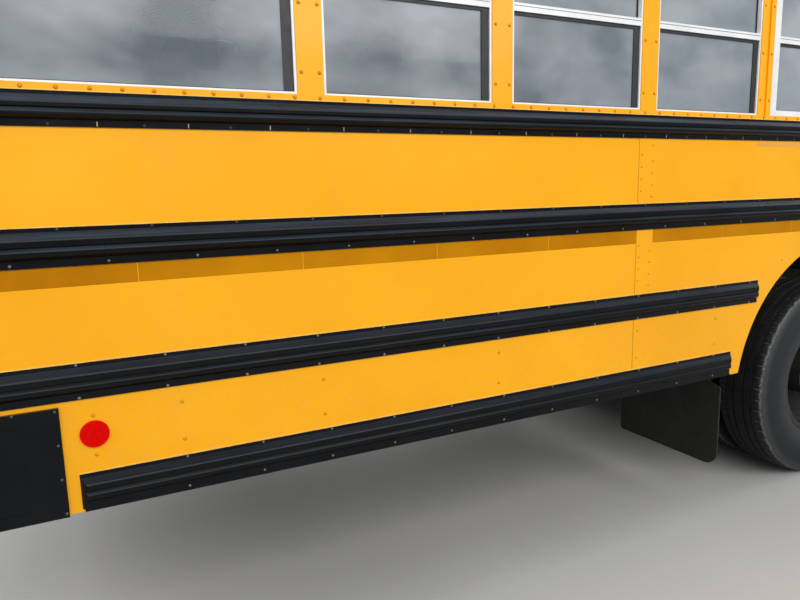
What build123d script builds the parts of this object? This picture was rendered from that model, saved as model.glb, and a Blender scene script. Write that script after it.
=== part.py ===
from build123d import *
import math
import os

# A conventional school bus with a tilting hood. Millimetres.
# +X points forward, +Y to the bus's left, +Z up. The origin is on the ground, under the middle of the length.

# Overall layout
wheelbase = 6930
rear_overhang = 4030
front_overhang = 1060
rear_bumper_reach = 70
cowl_behind_front_axle = 700
overall = rear_bumper_reach + rear_overhang + wheelbase + front_overhang
x_rear_end = -overall / 2
x_rear = x_rear_end + rear_bumper_reach
x_rear_axle = x_rear + rear_overhang
x_front_axle = x_rear_axle + wheelbase
x_front_end = x_front_axle + front_overhang
x_cowl = x_front_axle - cowl_behind_front_axle

# Heights from the ground up: the tyre carries the axles, the springs, the rails and the floor
tyre_r = 527
rail_above_axle = 223
rail_depth = 260
bearer_depth = 40
floor_skin = 40
rail_low_z = tyre_r + rail_above_axle
rail_high_z = rail_low_z + rail_depth
floor_z = rail_high_z + bearer_depth + floor_skin

# Clearances
seat_gap = 0.3
pin_gap = 0.3
door_gap = 6
leaf_meeting_gap = 12
hub_end_gap = 2

# Body shell
body_half = 1220
wall = 50
skirt_z = 686
eave_z = 2570
roof_rise = 560
roof_corner_r = 400
rear_corner_r = 130
rear_dome_r = 350
front_corner_r = 170
windscreen_lean = 355
brow_r = 420
cap_rise = 60
roof_z = eave_z + roof_rise

# Side windows: the post beside the wide rear window, then one post every pitch
window_pitch = 711
post_width = 86
first_post_from_rear = 1174
rear_window_from_rear = 200
window_low_z = 1870
window_high_z = 2538
sash_bar_low_z = 2187
sash_bar = 28
frame_face = 8
frame_sill = 6
exit_window = 4
exit_frame_face = 45
exit_frame_sill = 24
exit_groove_half = 12
exit_groove_depth = 7
exit_groove_over = 8
frame_depth = 40
frame_set_in = 4
glass = 5
lower_glass_set_in = 14
upper_glass_set_in = 26
x_first_post = x_rear + first_post_from_rear

# Wheel arches of the body
arch_behind_axle = 70
x_arch = x_rear_axle - arch_behind_axle
arch_r = 734
arch_centre_z = 550
house_clearance = 13
house_skin = 6
house_inner_y = 540

# Wheels
tyre_width = 279
rim_seat_r = 286
rim_flange_r = 300
rim_skin = 9
rim_width = 208
hand_holes = 5
hand_hole_r = 24
hand_hole_at = 218
twin_outer_y = 1035
twin_inner_y = 705
steer_y = 1020
disc_skin = 12
hub_r = 112
drum_r = 200
drum_width = 115
hub_cap = 40
hub_reach = 100
hub_steer_reach = 130
hub_inner_y = 575
spindle_r = 45
axle_tube_r = 72

# Steering
kingpin_y = 890
kingpin_r = 22
boss_r = 48
boss_height = 100
ear = 32
ear_gap = 1

# Frame rails
rail_outer_y = 432
rail_flange = 80
rail_skin = 8
x_rail_front = x_front_end - 265
x_rail_rear = x_rear + 60
cross_low_z = rail_high_z - 100
cross_from_rear_axle = (-2385, -885, 800, 2215, 3715, 5215)

# Entrance door, on the right
door_behind_cowl = 235
door_width = 820
x_door_front = x_cowl - door_behind_cowl
x_door_rear = x_door_front - door_width
door_high_z = 2450
door_below_floor = 620
door_low_z = floor_z - door_below_floor
leaf = 38
step_rise = 215
step_run = 240
step_count = 3
step_skin = 6

# Rear emergency door
rear_door_half = 450
rear_door_above_floor = 35
rear_door_low_z = floor_z + rear_door_above_floor
rear_door_high_z = 2490

# Hood
hood_gap = 25
hood_low_z = 850
hood_front_z = 1400
hood_rear_z = 1660
hood_front_half = 700
hood_rear_half = 880
hood_edge_r = 180
hood_nose_r = 170
hood_skin = 12
x_hood_front = x_front_end - 145
fender_half = 1190
fender_inner_y = 640
fender_low_z = 690
fender_top_z = 1240
fender_front_z = 1160
fender_edge_r = 90
hood_arch_r = 640
x_fender_front = x_hood_front - 40
hood_hinge_x = x_hood_front - 50
hood_hinge_z = rail_low_z + 90

# Rub rails: the lowest and highest point of each. Where each stretch runs is worked out below.
rub_levels = {"window": (1759, 1850), "seat": (1391, 1497), "floor": (1017, 1121), "skirt": (695, 799)}
rub_drawn_height = 105
rub_reach = 22
rub_bevel = 16
rub_flange = 4
rub_top_flange = 12
rub_bottom_flange = 20
rub_shoulder_drop = 30
rub_shoulder_r = 14
rub_groove_drop = 48
rub_groove_height = 13
rub_groove_lip = 4
rub_groove_depth = 7
rub_lower_shoulder_r = 8
rub_chin_rise = 32
rub_floor_gap = 621
rub_skirt_gap = 785

# Exhaust pipe
exhaust_y = 500
exhaust_z = rail_low_z + 120
exhaust_r = 42

# Rear bumper
bumper_low_z = 684
bumper_high_z = 1003
bumper_wrap = 398
bumper_proud = 12
bumper_recess = 5
bumper_recess_from_edge = 94
bumper_corner_r = 150
plate_skin = 8

# Seats
seat_width = 990
seat_depth = 390
seat_back = 80
seat_low_z = floor_z + 330
seat_high_z = floor_z + 460
back_high_z = floor_z + 1090
seat_from_rear = 90


def block(x, y, z):
    """Box from three (low, high) pairs."""
    size = [b - a for a, b in (x, y, z)]
    centre = [(a + b) / 2 for a, b in (x, y, z)]
    return Pos(*centre) * Box(*size)


def along_y(face, y):
    """Extrudes a face drawn in X and Z between two Y values."""
    return extrude(Plane.XZ.offset(-y[1]) * face, y[1] - y[0])


def along_x(face, x):
    """Extrudes a face drawn in Y and Z between two X values."""
    return extrude(Plane.YZ.offset(x[0]) * face, x[1] - x[0])


def along_z(face, z):
    """Extrudes a face drawn in X and Y between two Z values."""
    return extrude(Plane.XY.offset(z[0]) * face, z[1] - z[0])


def rod(start, end, r):
    """Round bar between two points."""
    a, b = Vector(*start), Vector(*end)
    return extrude(Plane(origin=a, z_dir=b - a) * Circle(r), (b - a).length)


def outline(points, radii):
    """Closed face whose corners are rounded by a list of radii."""
    return make_face(FilletPolyline(*points, radius=radii, close=True))


def mirrored(shape):
    return mirror(shape, about=Plane.XZ)


def pair(shape):
    """A piece and its twin on the other side."""
    return [shape, mirrored(shape)]


def fuse(shapes):
    result = shapes[0]
    for shape in shapes[1:]:
        result = result + shape
    return result


def solids_of(shapes):
    found = []
    for shape in shapes:
        found.extend(shape.solids())
    return found


# Body shell

def body_section(inset):
    """Cross-section: upright sides, round roof corners and a shallow crown."""
    half = body_half - inset
    corner = roof_corner_r - inset
    side = body_half - roof_corner_r
    crown = (side**2 + roof_rise**2 - roof_corner_r**2) / (2 * (roof_rise - roof_corner_r))
    angle = math.atan2(eave_z - (roof_z - crown), side)
    low = skirt_z - 300

    def on_corner(turn):
        return side + corner * math.cos(turn), eave_z + corner * math.sin(turn)

    tangent, middle = on_corner(angle), on_corner(angle / 2)
    edges = [
        Line((-half, low), (half, low)),
        Line((half, low), (half, eave_z)),
        ThreePointArc((half, eave_z), middle, tangent),
        ThreePointArc(tangent, (0, roof_z - inset), (-tangent[0], tangent[1])),
        ThreePointArc((-tangent[0], tangent[1]), (-middle[0], middle[1]), (-half, eave_z)),
        Line((-half, eave_z), (-half, low)),
    ]
    return make_face(Curve() + edges)


def body_profile(inset):
    """Side view: upright rear with a round dome, leaning windscreen with a round brow."""
    low = skirt_z - 300
    high = roof_z + cap_rise
    corners = [
        (x_rear, low),
        (x_cowl, low),
        (x_cowl, hood_rear_z + 20),
        (x_cowl - windscreen_lean, high),
        (x_rear, high),
    ]
    return offset(outline(corners, [0, 0, 30, brow_r, rear_dome_r]), -inset, kind=Kind.INTERSECTION)


def body_plan(inset):
    """Plan view with rounded corners."""
    x = (x_rear + inset, x_cowl - inset)
    y = body_half - inset
    rear, front = rear_corner_r - inset, front_corner_r - inset
    corners = [(x[0], -y), (x[1], -y), (x[1], y), (x[0], y)]
    return outline(corners, [rear, front, front, rear])


def envelope(inset):
    section = along_x(body_section(inset), (x_rear - 10, x_cowl + 10))
    profile = along_y(body_profile(inset), (-body_half - 10, body_half + 10))
    plan = along_z(body_plan(inset), (skirt_z - 200, roof_z + 100))
    return section & profile & plan


outer_envelope = envelope(0)
inner_envelope = envelope(wall)
shell = outer_envelope - inner_envelope
x_all = (x_rear - 20, x_cowl + 20)
y_all = (-body_half - 20, body_half + 20)
z_side = (skirt_z, eave_z)
x_rear_corner = x_rear + rear_window_from_rear
inner_y = body_half - wall


window_count = int((x_door_rear - post_width - x_first_post) / window_pitch)
x_last_post = x_first_post + window_count * window_pitch


def window_spans():
    """The wide rear window, then the standard windows between the posts."""
    spans = [(x_rear_corner, x_first_post - post_width / 2)]
    for index in range(window_count):
        post = x_first_post + index * window_pitch
        spans.append((post + post_width / 2, post + window_pitch - post_width / 2))
    return spans


driver_window = (x_last_post + post_width / 2, x_door_front - 100)
window_z = (window_low_z, window_high_z)
right_windows = window_spans()
left_windows = window_spans() + [driver_window]


def arch_cutter(radius, y):
    centre = (x_arch, arch_centre_z)
    return rod((centre[0], y[0], centre[1]), (centre[0], y[1], centre[1]), radius)


def make_side_wall(side):
    """side is -1 on the right and 1 on the left."""
    y = (0, side * (body_half + 20))
    part = shell & block((x_rear_corner, x_door_front), (min(y), max(y)), z_side)
    cut_y = (min(side * (inner_y - 60), side * (body_half + 60)), max(side * (inner_y - 60), side * (body_half + 60)))
    for span in (right_windows if side < 0 else left_windows):
        part -= block(span, cut_y, window_z)
    part -= arch_cutter(arch_r, cut_y)
    exit_post = x_first_post + (exit_window - 1) * window_pitch
    groove_y = sorted((side * (body_half - exit_groove_depth), side * (body_half + 1)))
    groove_x = (exit_post - exit_groove_half, exit_post + exit_groove_half)
    part -= block(groove_x, groove_y, (window_low_z - exit_groove_over, window_high_z + exit_groove_over))
    if side < 0:
        part -= block((x_door_rear, x_door_front + 1), cut_y, (skirt_z - 1, door_high_z))
    return part


windscreen_z = (hood_rear_z + 90, eave_z - 60)
windscreen_y = (30, 1060)


def windscreen_cutter(side, gap):
    y = sorted((side * (windscreen_y[0] + gap), side * (windscreen_y[1] - gap)))
    return block((x_cowl - 600, x_cowl + 100), y, (windscreen_z[0] + gap, windscreen_z[1] - gap))


def make_front_end():
    """Windscreen frame, corner posts and cowl. The middle of its foot is open for the gearbox."""
    part = shell & block((x_door_front, x_all[1]), y_all, z_side)
    for side in (-1, 1):
        part -= windscreen_cutter(side, 0)
    part -= block((x_cowl - 200, x_cowl + 50), (-rail_outer_y - 90, rail_outer_y + 90), (skirt_z - 1, floor_z))
    return part


rear_door_y = (-rear_door_half, rear_door_half)
rear_door_z = (rear_door_low_z, rear_door_high_z)
rear_pane_y = (rear_door_half + 90, body_half - 150)
frame_bay_half = 620
plate_y = 800
plate_z = 1380
plate_holes_y = 178
plate_holes_z = 121
plate_hole_r = 3.5


def make_rear_wall():
    part = shell & block((x_all[0], x_rear_corner), y_all, z_side)
    part -= block((x_rear - 20, x_rear + wall + 20), rear_door_y, rear_door_z)
    part -= block((x_rear - 20, x_rear + wall + 20), (-frame_bay_half, frame_bay_half), (skirt_z - 1, rail_high_z - 10))
    for side in (-1, 1):
        y = sorted(side * value for value in rear_pane_y)
        part -= block((x_rear - 20, x_rear + wall + 20), y, window_z)
    for side_y in (-1, 1):
        for side_z in (-1, 1):
            y = plate_y + side_y * plate_holes_y / 2
            z = plate_z + side_z * plate_holes_z / 2
            part -= rod((x_rear - 20, y, z), (x_rear + wall + 20, y, z), plate_hole_r)
    return part


hatch_x = -400
hatch_half = 300
coaming = 20
coaming_high_z = roof_z + 30
hatch_lid = 40
drip_reach = 15
drip_height = 9
drip_above_eave = 8


def make_roof():
    """Roof with both end caps, a drip rail along each eave and a raised coaming round the hatch."""
    part = shell & block(x_all, y_all, (eave_z, roof_z + 10))
    drip_z = (eave_z + drip_above_eave, eave_z + drip_above_eave + drip_height)
    for side in (-1, 1):
        drip_y = sorted((side * (body_half - wall / 2), side * (body_half + drip_reach)))
        part += block((x_rear_corner, x_door_front), drip_y, drip_z)
    hole = block(
        (hatch_x - hatch_half, hatch_x + hatch_half), (-hatch_half, hatch_half), (roof_z - 200, roof_z + 200)
    )
    rim = hatch_half + coaming
    ring = block((hatch_x - rim, hatch_x + rim), (-rim, rim), (roof_z - wall, coaming_high_z))
    return part + ring - hole


bearer = 60
floor_half = inner_y - seat_gap


def make_floor():
    """Floor slab on cross bearers, wheel houses, and the step well at the entrance door."""
    x = (x_rear + wall + seat_gap, x_cowl - wall - seat_gap)
    y = (-floor_half, floor_half)
    slab = along_z(body_plan(wall + seat_gap), (floor_z - floor_skin, floor_z))
    bearers = []
    index = 0
    while x_first_post + index * window_pitch < x_cowl - wall - bearer:
        centre = x_first_post + index * window_pitch
        bearers.append(
            block((centre - bearer / 2, centre + bearer / 2), y, (rail_high_z, rail_high_z + bearer_depth))
        )
        index += 1
    rear_bearer = x_rear + rear_corner_r + 20
    bearers.append(block((rear_bearer, rear_bearer + bearer), y, (rail_high_z, rail_high_z + bearer_depth)))
    part = fuse([slab] + bearers)
    house_r = arch_r + house_clearance
    house_y = (house_inner_y, floor_half)
    for side in (-1, 1):
        y = sorted(side * value for value in house_y)
        part -= arch_cutter(house_r, y)
        outside = arch_cutter(house_r + house_skin, y) - arch_cutter(house_r, (y[0] - 1, y[1] + 1))
        plate_edge = sorted((side * (house_inner_y - house_skin), side * house_inner_y))
        end_plate = arch_cutter(house_r + house_skin, plate_edge)
        house = (outside + end_plate) & block(
            (x_arch - 900, x_arch + 900), y_all, (floor_z - floor_skin, floor_z + 300)
        )
        part += house
    well_y = (-floor_half, -inner_y + step_count * step_run)
    part -= block((x_door_rear, x_door_front), (-inner_y - 1, well_y[1]), (rail_high_z - 1, floor_z + 1))
    step_x = (x_door_rear, x_door_front)
    treads = []
    for step in range(step_count):
        z = floor_z - (step + 1) * step_rise
        near = well_y[1] - step * step_run
        riser = block(step_x, (near - step_skin, near), (z, floor_z - step * step_rise))
        tread = block(step_x, (max(near - step_run, well_y[0]), near), (z - step_skin, z))
        treads.extend([riser, tread])
    low = floor_z - step_count * step_rise - step_skin
    for x_side in (step_x[0], step_x[1] - step_skin):
        cheek = block((x_side, x_side + step_skin), (well_y[0], well_y[1]), (low, floor_z))
        treads.append(cheek)
    return part + treads


# Window frames and panes

def frame_faces(index):
    """Widths of a frame's uprights and of its sill. The exit window has broader ones."""
    if index == exit_window:
        return exit_frame_face, exit_frame_sill
    return frame_face, frame_sill


def window_frame(span, side, face, sill):
    """Frame with a sash bar. It stands in its opening with a small gap."""
    y = sorted((side * (body_half - frame_set_in), side * (body_half - frame_set_in - frame_depth)))
    x = (span[0] + seat_gap, span[1] - seat_gap)
    z = (window_z[0] + seat_gap, window_z[1] - seat_gap)
    ring = block(x, y, z)
    inside = (x[0] + face, x[1] - face)
    through = (y[0] - 1, y[1] + 1)
    low = block(inside, through, (z[0] + sill, sash_bar_low_z))
    high = block(inside, through, (sash_bar_low_z + sash_bar, z[1] - sill))
    return ring - low - high


def window_panes(span, side, face, sill):
    """Lower pane, and the upper pane set further in."""
    inset = face + 2 * seat_gap
    x = (span[0] + inset, span[1] - inset)
    low = (window_z[0] + sill + 2 * seat_gap, sash_bar_low_z - seat_gap)
    high = (sash_bar_low_z + sash_bar + seat_gap, window_z[1] - sill - 2 * seat_gap)
    panes = []
    for z, set_in in ((low, lower_glass_set_in), (high, upper_glass_set_in)):
        y = sorted((side * (body_half - set_in), side * (body_half - set_in - glass)))
        panes.append(block(x, y, z))
    return panes


def make_window_glass():
    panes = []
    for side, spans in ((-1, right_windows), (1, left_windows)):
        for index, span in enumerate(spans):
            panes.extend(window_panes(span, side, *frame_faces(index)))
    for side in (-1, 1):
        y = sorted(side * value for value in rear_pane_y)
        panes.append(
            block(
                (x_rear + 15, x_rear + 15 + glass),
                (y[0] + seat_gap, y[1] - seat_gap),
                (window_z[0] + seat_gap, window_z[1] - seat_gap),
            )
        )
    sheet = envelope(15) - envelope(15 + glass)
    for side in (-1, 1):
        panes.append(sheet & windscreen_cutter(side, seat_gap))
    return solids_of(panes)


def make_window_frames():
    frames = []
    for side, spans in ((-1, right_windows), (1, left_windows)):
        frames.extend(window_frame(span, side, *frame_faces(index)) for index, span in enumerate(spans))
    return frames


# Rub rails

def rub_section(seat, low, high):
    """Pressed rail: two ridges with a groove between them, and a flange above and below."""
    scale = (high - low) / rub_drawn_height
    groove_high = high - scale * rub_groove_drop
    groove_low = groove_high - scale * rub_groove_height
    corners = [
        # reach, height, radius
        (0, low, 0),
        (rub_flange, low, 0),
        (rub_flange, low + scale * rub_bottom_flange, 2),
        (rub_reach, low + scale * rub_chin_rise, 6),
        (rub_reach, groove_low, rub_lower_shoulder_r),
        (rub_reach - rub_groove_depth, groove_high - scale * rub_groove_lip, 1),
        (rub_reach, groove_high, 2),
        (rub_reach, high - scale * rub_shoulder_drop, rub_shoulder_r),
        (rub_flange, high - scale * rub_top_flange, 2),
        (rub_flange, high, 0),
        (0, high, 0),
    ]
    return outline([(seat + reach, height) for reach, height, _ in corners], [radius for *_, radius in corners])


def rub_rail(x, z, side):
    seat = body_half + seat_gap
    rail = along_x(rub_section(seat, *z), x)
    reach = rub_reach + 1
    bevel = rub_bevel * reach / rub_reach
    plan = [(x[0], seat), (x[1], seat), (x[1] - bevel, seat + reach), (x[0] + bevel, seat + reach)]
    rail = rail & along_z(make_face(Polyline(*plan, close=True)), (z[0] - 1, z[1] + 1))
    return rail if side > 0 else mirrored(rail)


x_wall_rear = x_rear + rear_corner_r + 15
x_skirt_rear = x_rear + bumper_wrap + 34


def make_rub_rails():
    rails = []
    for side, front in ((-1, x_door_rear - 60), (1, x_door_front - 30)):
        spans = [
            ("window", x_wall_rear, front),
            ("seat", x_wall_rear, front),
            ("floor", x_wall_rear, x_arch - rub_floor_gap),
            ("floor", x_arch + rub_floor_gap, front),
            ("skirt", x_skirt_rear, x_arch - rub_skirt_gap),
            ("skirt", x_arch + rub_skirt_gap, front),
        ]
        rails.extend(rub_rail((low, high), rub_levels[level], side) for level, low, high in spans)
    return rails


# Bumpers

def rear_bumper_plan(inset, reach):
    """Plan of the wrapped bumper, from the ends of its side wraps round the back."""
    x = (x_rear_end + inset, x_rear + bumper_wrap + reach)
    y = body_half + bumper_proud - inset
    corner = bumper_corner_r - inset
    return outline([(x[0], -y), (x[1], -y), (x[1], y), (x[0], y)], [corner, 0, 0, corner])


def make_rear_bumper():
    """Pressed bumper that wraps both rear corners, with one long recess in its face."""
    z = (bumper_low_z, bumper_high_z)
    plan = rear_bumper_plan(0, 0) - rear_bumper_plan(bumper_proud - seat_gap, 10)
    skin = along_z(plan, z)
    lips = rear_bumper_plan(1, 0) - body_plan(-seat_gap)
    lip_span = block((x_rear_end, x_rear - seat_gap), y_all, (bumper_low_z, bumper_high_z + 1))
    for low in (z[0], z[1] - plate_skin):
        skin += along_z(lips, (low, low + plate_skin)) & lip_span
    recess = rear_bumper_plan(-10, 20) - rear_bumper_plan(bumper_recess, 20)
    recess_z = (bumper_low_z + 32, bumper_high_z - 38)
    skin -= along_z(recess, recess_z) & block(
        (x_rear_end - 20, x_rear + bumper_wrap - bumper_recess_from_edge), (-2000, 2000), recess_z
    )
    for side in (-1, 1):
        y = sorted((side * (rail_outer_y - rail_skin), side * rail_outer_y))
        skin += block((x_rear_end + bumper_proud - 2, x_rail_rear - seat_gap), y, (rail_low_z + 30, rail_high_z - 30))
    outlet = (exhaust_y, exhaust_z)
    return skin - rod((x_rear_end - 10, *outlet), (x_rear_end + 40, *outlet), exhaust_r + 12)


front_bumper_z = (rail_low_z - 230, rail_low_z + 40)
front_bumper_half = fender_half
horn_z = (rail_low_z - 130, rail_low_z)
horn_skin = 16


def make_front_bumper():
    x = (x_front_end - 100, x_front_end)
    y = front_bumper_half
    outside = outline([(x[0], -y), (x[1], -y), (x[1], y), (x[0], y)], [0, 80, 80, 0])
    inside = outline(
        [(x[0] - 5, -y + plate_skin), (x[1] - plate_skin, -y + plate_skin),
         (x[1] - plate_skin, y - plate_skin), (x[0] - 5, y - plate_skin)],
        [0, 72, 72, 0],
    )
    cavity = (front_bumper_z[0] + plate_skin, front_bumper_z[1] - plate_skin)
    return along_z(outside, front_bumper_z) - along_z(inside, cavity)


# Chassis

tow_r = 22
tow_plate = 20
tow_z = rail_low_z - 100
tow_plate_half = 45
x_tow_rear = x_rail_rear + 60
x_tow_front = x_rail_front - 80


def tow_plate_at(x):
    """Plate under a rail end, round below, which carries a tow eye."""
    y = (rail_outer_y - tow_plate, rail_outer_y)
    plate = block((x - tow_plate_half, x + tow_plate_half), y, (tow_z, rail_low_z))
    return plate + rod((x, y[0], tow_z), (x, y[1], tow_z), tow_plate_half)


def tow_eye(x):
    return rod((x, rail_outer_y - tow_plate - 5, tow_z), (x, rail_outer_y + 5, tow_z), tow_r)


hinge_pin_r = 15
hinge_ear_r = 24
hinge_pin_end = rail_outer_y + 50


def make_chassis_frame():
    """Two channel rails, cross members, tow eyes, bumper horns and the hood's hinge pins."""
    x = (x_rail_rear, x_rail_front)
    web = block(x, (rail_outer_y - rail_skin, rail_outer_y), (rail_low_z, rail_high_z))
    low = block(x, (rail_outer_y - rail_flange, rail_outer_y), (rail_low_z, rail_low_z + rail_skin))
    high = block(x, (rail_outer_y - rail_flange, rail_outer_y), (rail_high_z - rail_skin, rail_high_z))
    horn_y = (rail_outer_y - horn_skin, rail_outer_y)
    horn = block((x_rail_front - 100, x_front_end - plate_skin - seat_gap), horn_y, horn_z)
    ear_x = (hood_hinge_x - hinge_ear_r, hood_hinge_x + hinge_pin_r)
    ear = block(ear_x, horn_y, (horn_z[1] - 10, hood_hinge_z))
    ear += rod((hood_hinge_x, horn_y[0], hood_hinge_z), (hood_hinge_x, horn_y[1], hood_hinge_z), hinge_ear_r)
    pin = rod((hood_hinge_x, horn_y[0], hood_hinge_z), (hood_hinge_x, hinge_pin_end, hood_hinge_z), hinge_pin_r)
    rail = fuse([web, low, high, horn, ear, pin, tow_plate_at(x_tow_rear), tow_plate_at(x_tow_front)])
    rail = rail - tow_eye(x_tow_rear) - tow_eye(x_tow_front)
    members = []
    inner = rail_outer_y - rail_skin
    centres = [x_rear_axle + offset for offset in cross_from_rear_axle]
    for centre in [x_rail_rear + 60] + centres + [x_rail_front - 60]:
        members.append(block((centre - 40, centre + 40), (-inner, inner), (cross_low_z, cross_low_z + rail_skin)))
        members.append(block((centre - 4, centre + 4), (-inner, inner), (cross_low_z, rail_high_z - rail_skin)))
    return fuse(pair(rail) + members)


spring_y = rail_outer_y - rail_flange / 2
spring_half_width = 38
spring_eye_r = 24
spring_eye_drop = (75, 28)
spring_hanger_half = 20
spring_clamp_half = (60, 46)
spring_clamp_height = 66
leaf_t = 12
leaf_count = 4
beam_z = tyre_r - 82
beam_depth = 100
rear_pad_z = tyre_r + 95

# Leaf springs: axle x, height of the seat on the axle, height of the eyes, half span
spring_table = [
    (x_front_axle, beam_z + beam_depth / 2, rail_low_z - spring_eye_drop[0], 640),
    (x_rear_axle, rear_pad_z, rail_low_z - spring_eye_drop[1], 720),
]


def make_leaf_springs():
    packs = []
    leaf_y = (spring_y - spring_half_width, spring_y + spring_half_width)
    for x, seat_z, eye_z, half_span in spring_table:
        rise = eye_z - (seat_z + leaf_count * leaf_t - leaf_t / 2)
        parts = []
        for index in range(leaf_count):
            share = 1 - 0.2 * index
            reach = half_span * share
            z = seat_z + (leaf_count - index) * leaf_t
            lift = rise * share**2
            top = ThreePointArc((-reach, z + lift), (0, z), (reach, z + lift))
            base = ThreePointArc((reach, z + lift - leaf_t - 1), (0, z - leaf_t), (-reach, z + lift - leaf_t - 1))
            ends = [Line(top @ 1, base @ 0), Line(base @ 1, top @ 0)]
            face = make_face(Curve() + [top, ends[0], base, ends[1]])
            parts.append(Pos(x, 0, 0) * along_y(face, leaf_y))
        for end in (-1, 1):
            eye_x = x + end * half_span
            parts.append(rod((eye_x, leaf_y[0], eye_z), (eye_x, leaf_y[1], eye_z), spring_eye_r))
            hanger_z = (eye_z, rail_low_z - seat_gap)
            parts.append(block((eye_x - spring_hanger_half, eye_x + spring_hanger_half), leaf_y, hanger_z))
        clamp_x, clamp_y = spring_clamp_half
        clamp_z = (seat_z + seat_gap, seat_z + spring_clamp_height)
        parts.append(block((x - clamp_x, x + clamp_x), (spring_y - clamp_y, spring_y + clamp_y), clamp_z))
        packs.extend(pair(fuse(parts)))
    return packs


engine_x = (x_cowl + 40, x_cowl + 1090)
engine_high_z = 1470
gearbox_x = (x_cowl - 700, x_cowl + 40)


shaft_front = Vector(gearbox_x[0], 0, rail_low_z + 80)
shaft_rear = Vector(x_rear_axle + 300, 0, tyre_r + 48)
shaft_line = (shaft_rear - shaft_front).normalized()


def make_drivetrain():
    """Engine and gearbox as plain blocks, and the propeller shaft to the rear axle."""
    engine = block(engine_x, (-340, 340), (rail_low_z + 20, engine_high_z))
    gearbox = block((gearbox_x[0] - 20, gearbox_x[1]), (-190, 190), (rail_low_z - 20, rail_high_z - 20))
    shaft = rod(shaft_front, shaft_rear, 50)
    return engine + gearbox + shaft


axle_tube_half = 560
differential_r = 210
pinion_r = 70
pinion_reach = 280


def make_rear_axle():
    """Tube with its round differential and the two spindles that carry the twin wheels."""
    z = tyre_r
    spindle_end = twin_outer_y + hub_reach - hub_cap - hub_end_gap
    parts = [rod((x_rear_axle, -axle_tube_half, z), (x_rear_axle, axle_tube_half, z), axle_tube_r)]
    parts.append(rod((x_rear_axle, -spindle_end, z), (x_rear_axle, spindle_end, z), spindle_r))
    parts.append(Pos(x_rear_axle, 0, z) * Sphere(differential_r))
    parts.append(rod(shaft_rear + shaft_line * seat_gap, shaft_rear + shaft_line * pinion_reach, pinion_r))
    for side in (-1, 1):
        y = side * spring_y
        pad_x, pad_y = spring_clamp_half
        parts.append(block((x_rear_axle - pad_x, x_rear_axle + pad_x), (y - pad_y, y + pad_y), (z, rear_pad_z)))
    return fuse(parts)


def make_front_axle():
    """Dropped I-beam that rises to a kingpin boss at each end."""
    web = 16
    low, high = beam_z - beam_depth / 2, beam_z + beam_depth / 2
    rise = tyre_r - beam_z
    turn_y, end_y = 660, kingpin_y - 30
    level_y = kingpin_y - boss_r - 36
    side_points = [
        (-end_y, low + rise), (-level_y, low + rise), (-turn_y, low),
        (turn_y, low), (level_y, low + rise), (end_y, low + rise),
        (end_y, high + rise), (level_y, high + rise), (turn_y, high),
        (-turn_y, high), (-level_y, high + rise), (-end_y, high + rise),
    ]
    beam = along_x(make_face(Polyline(*side_points, close=True)), (x_front_axle - 50, x_front_axle + 50))
    for side in (-1, 1):
        x = sorted((x_front_axle + side * web / 2, x_front_axle + side * 60))
        beam -= block(x, (-turn_y, turn_y), (low + 20, high - 20))
    for side in (-1, 1):
        y = side * kingpin_y
        z = (tyre_r - boss_height / 2, tyre_r + boss_height / 2)
        beam += rod((x_front_axle, y, z[0]), (x_front_axle, y, z[1]), boss_r)
        beam -= rod((x_front_axle, y, z[0] - 5), (x_front_axle, y, z[1] + 5), kingpin_r + pin_gap)
    return beam


knuckle_half = 40
knuckle_gap = 4
knuckle_back = 20


def make_knuckle(side):
    """Yoke round the axle's boss, with its kingpin and the wheel's spindle."""
    y = side * kingpin_y
    half = boss_height / 2 + ear_gap
    parts = [
        rod((x_front_axle, y, tyre_r - half - ear), (x_front_axle, y, tyre_r + half + ear), kingpin_r),
        rod((x_front_axle, y, tyre_r - half - ear), (x_front_axle, y, tyre_r - half), boss_r),
        rod((x_front_axle, y, tyre_r + half), (x_front_axle, y, tyre_r + half + ear), boss_r),
    ]
    x = (x_front_axle - knuckle_half, x_front_axle + knuckle_half)
    near, far = boss_r + knuckle_gap, boss_r + knuckle_gap + knuckle_back
    parts.append(block(x, sorted((y + side * near, y + side * far)), (tyre_r - half - ear, tyre_r + half + ear)))
    reach = sorted((y, y + side * far))
    for z in ((tyre_r - half - ear, tyre_r - half), (tyre_r + half, tyre_r + half + ear)):
        parts.append(block(x, reach, z))
    inside = near + knuckle_back / 2 - 4
    spindle_y = (y + side * inside, side * (steer_y + hub_steer_reach - hub_cap - hub_end_gap))
    parts.append(rod((x_front_axle, spindle_y[0], tyre_r), (x_front_axle, spindle_y[1], tyre_r), spindle_r))
    return fuse(parts)


# Wheels, drawn as distance from the wheel's centre plane and radius, then turned about the axle

def turned(points, x, y):
    """Turns a closed outline of (offset, radius) points about the wheel's axis."""
    face = make_face(Polyline(*points, close=True))
    placed = Plane(origin=(x, y, tyre_r), x_dir=(0, 1, 0), z_dir=(1, 0, 0)) * face
    return revolve(placed, Axis((x, y, tyre_r), (0, 1, 0)), 360)


def tyre(x, y):
    half = tyre_width / 2
    bead = rim_width / 2 - rim_skin - 2
    seat = rim_seat_r + seat_gap
    points = [
        (-bead, seat), (bead, seat), (bead + 2, seat + 16), (half - 6, seat + 70), (half, seat + 110),
        (half - 14, tyre_r - 32), (half - 34, tyre_r - 4), (half - 60, tyre_r),
        (-half + 60, tyre_r), (-half + 34, tyre_r - 4), (-half + 14, tyre_r - 32),
        (-half, seat + 110), (-half + 6, seat + 70), (-bead - 2, seat + 16),
    ]
    return turned(points, x, y)


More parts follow.
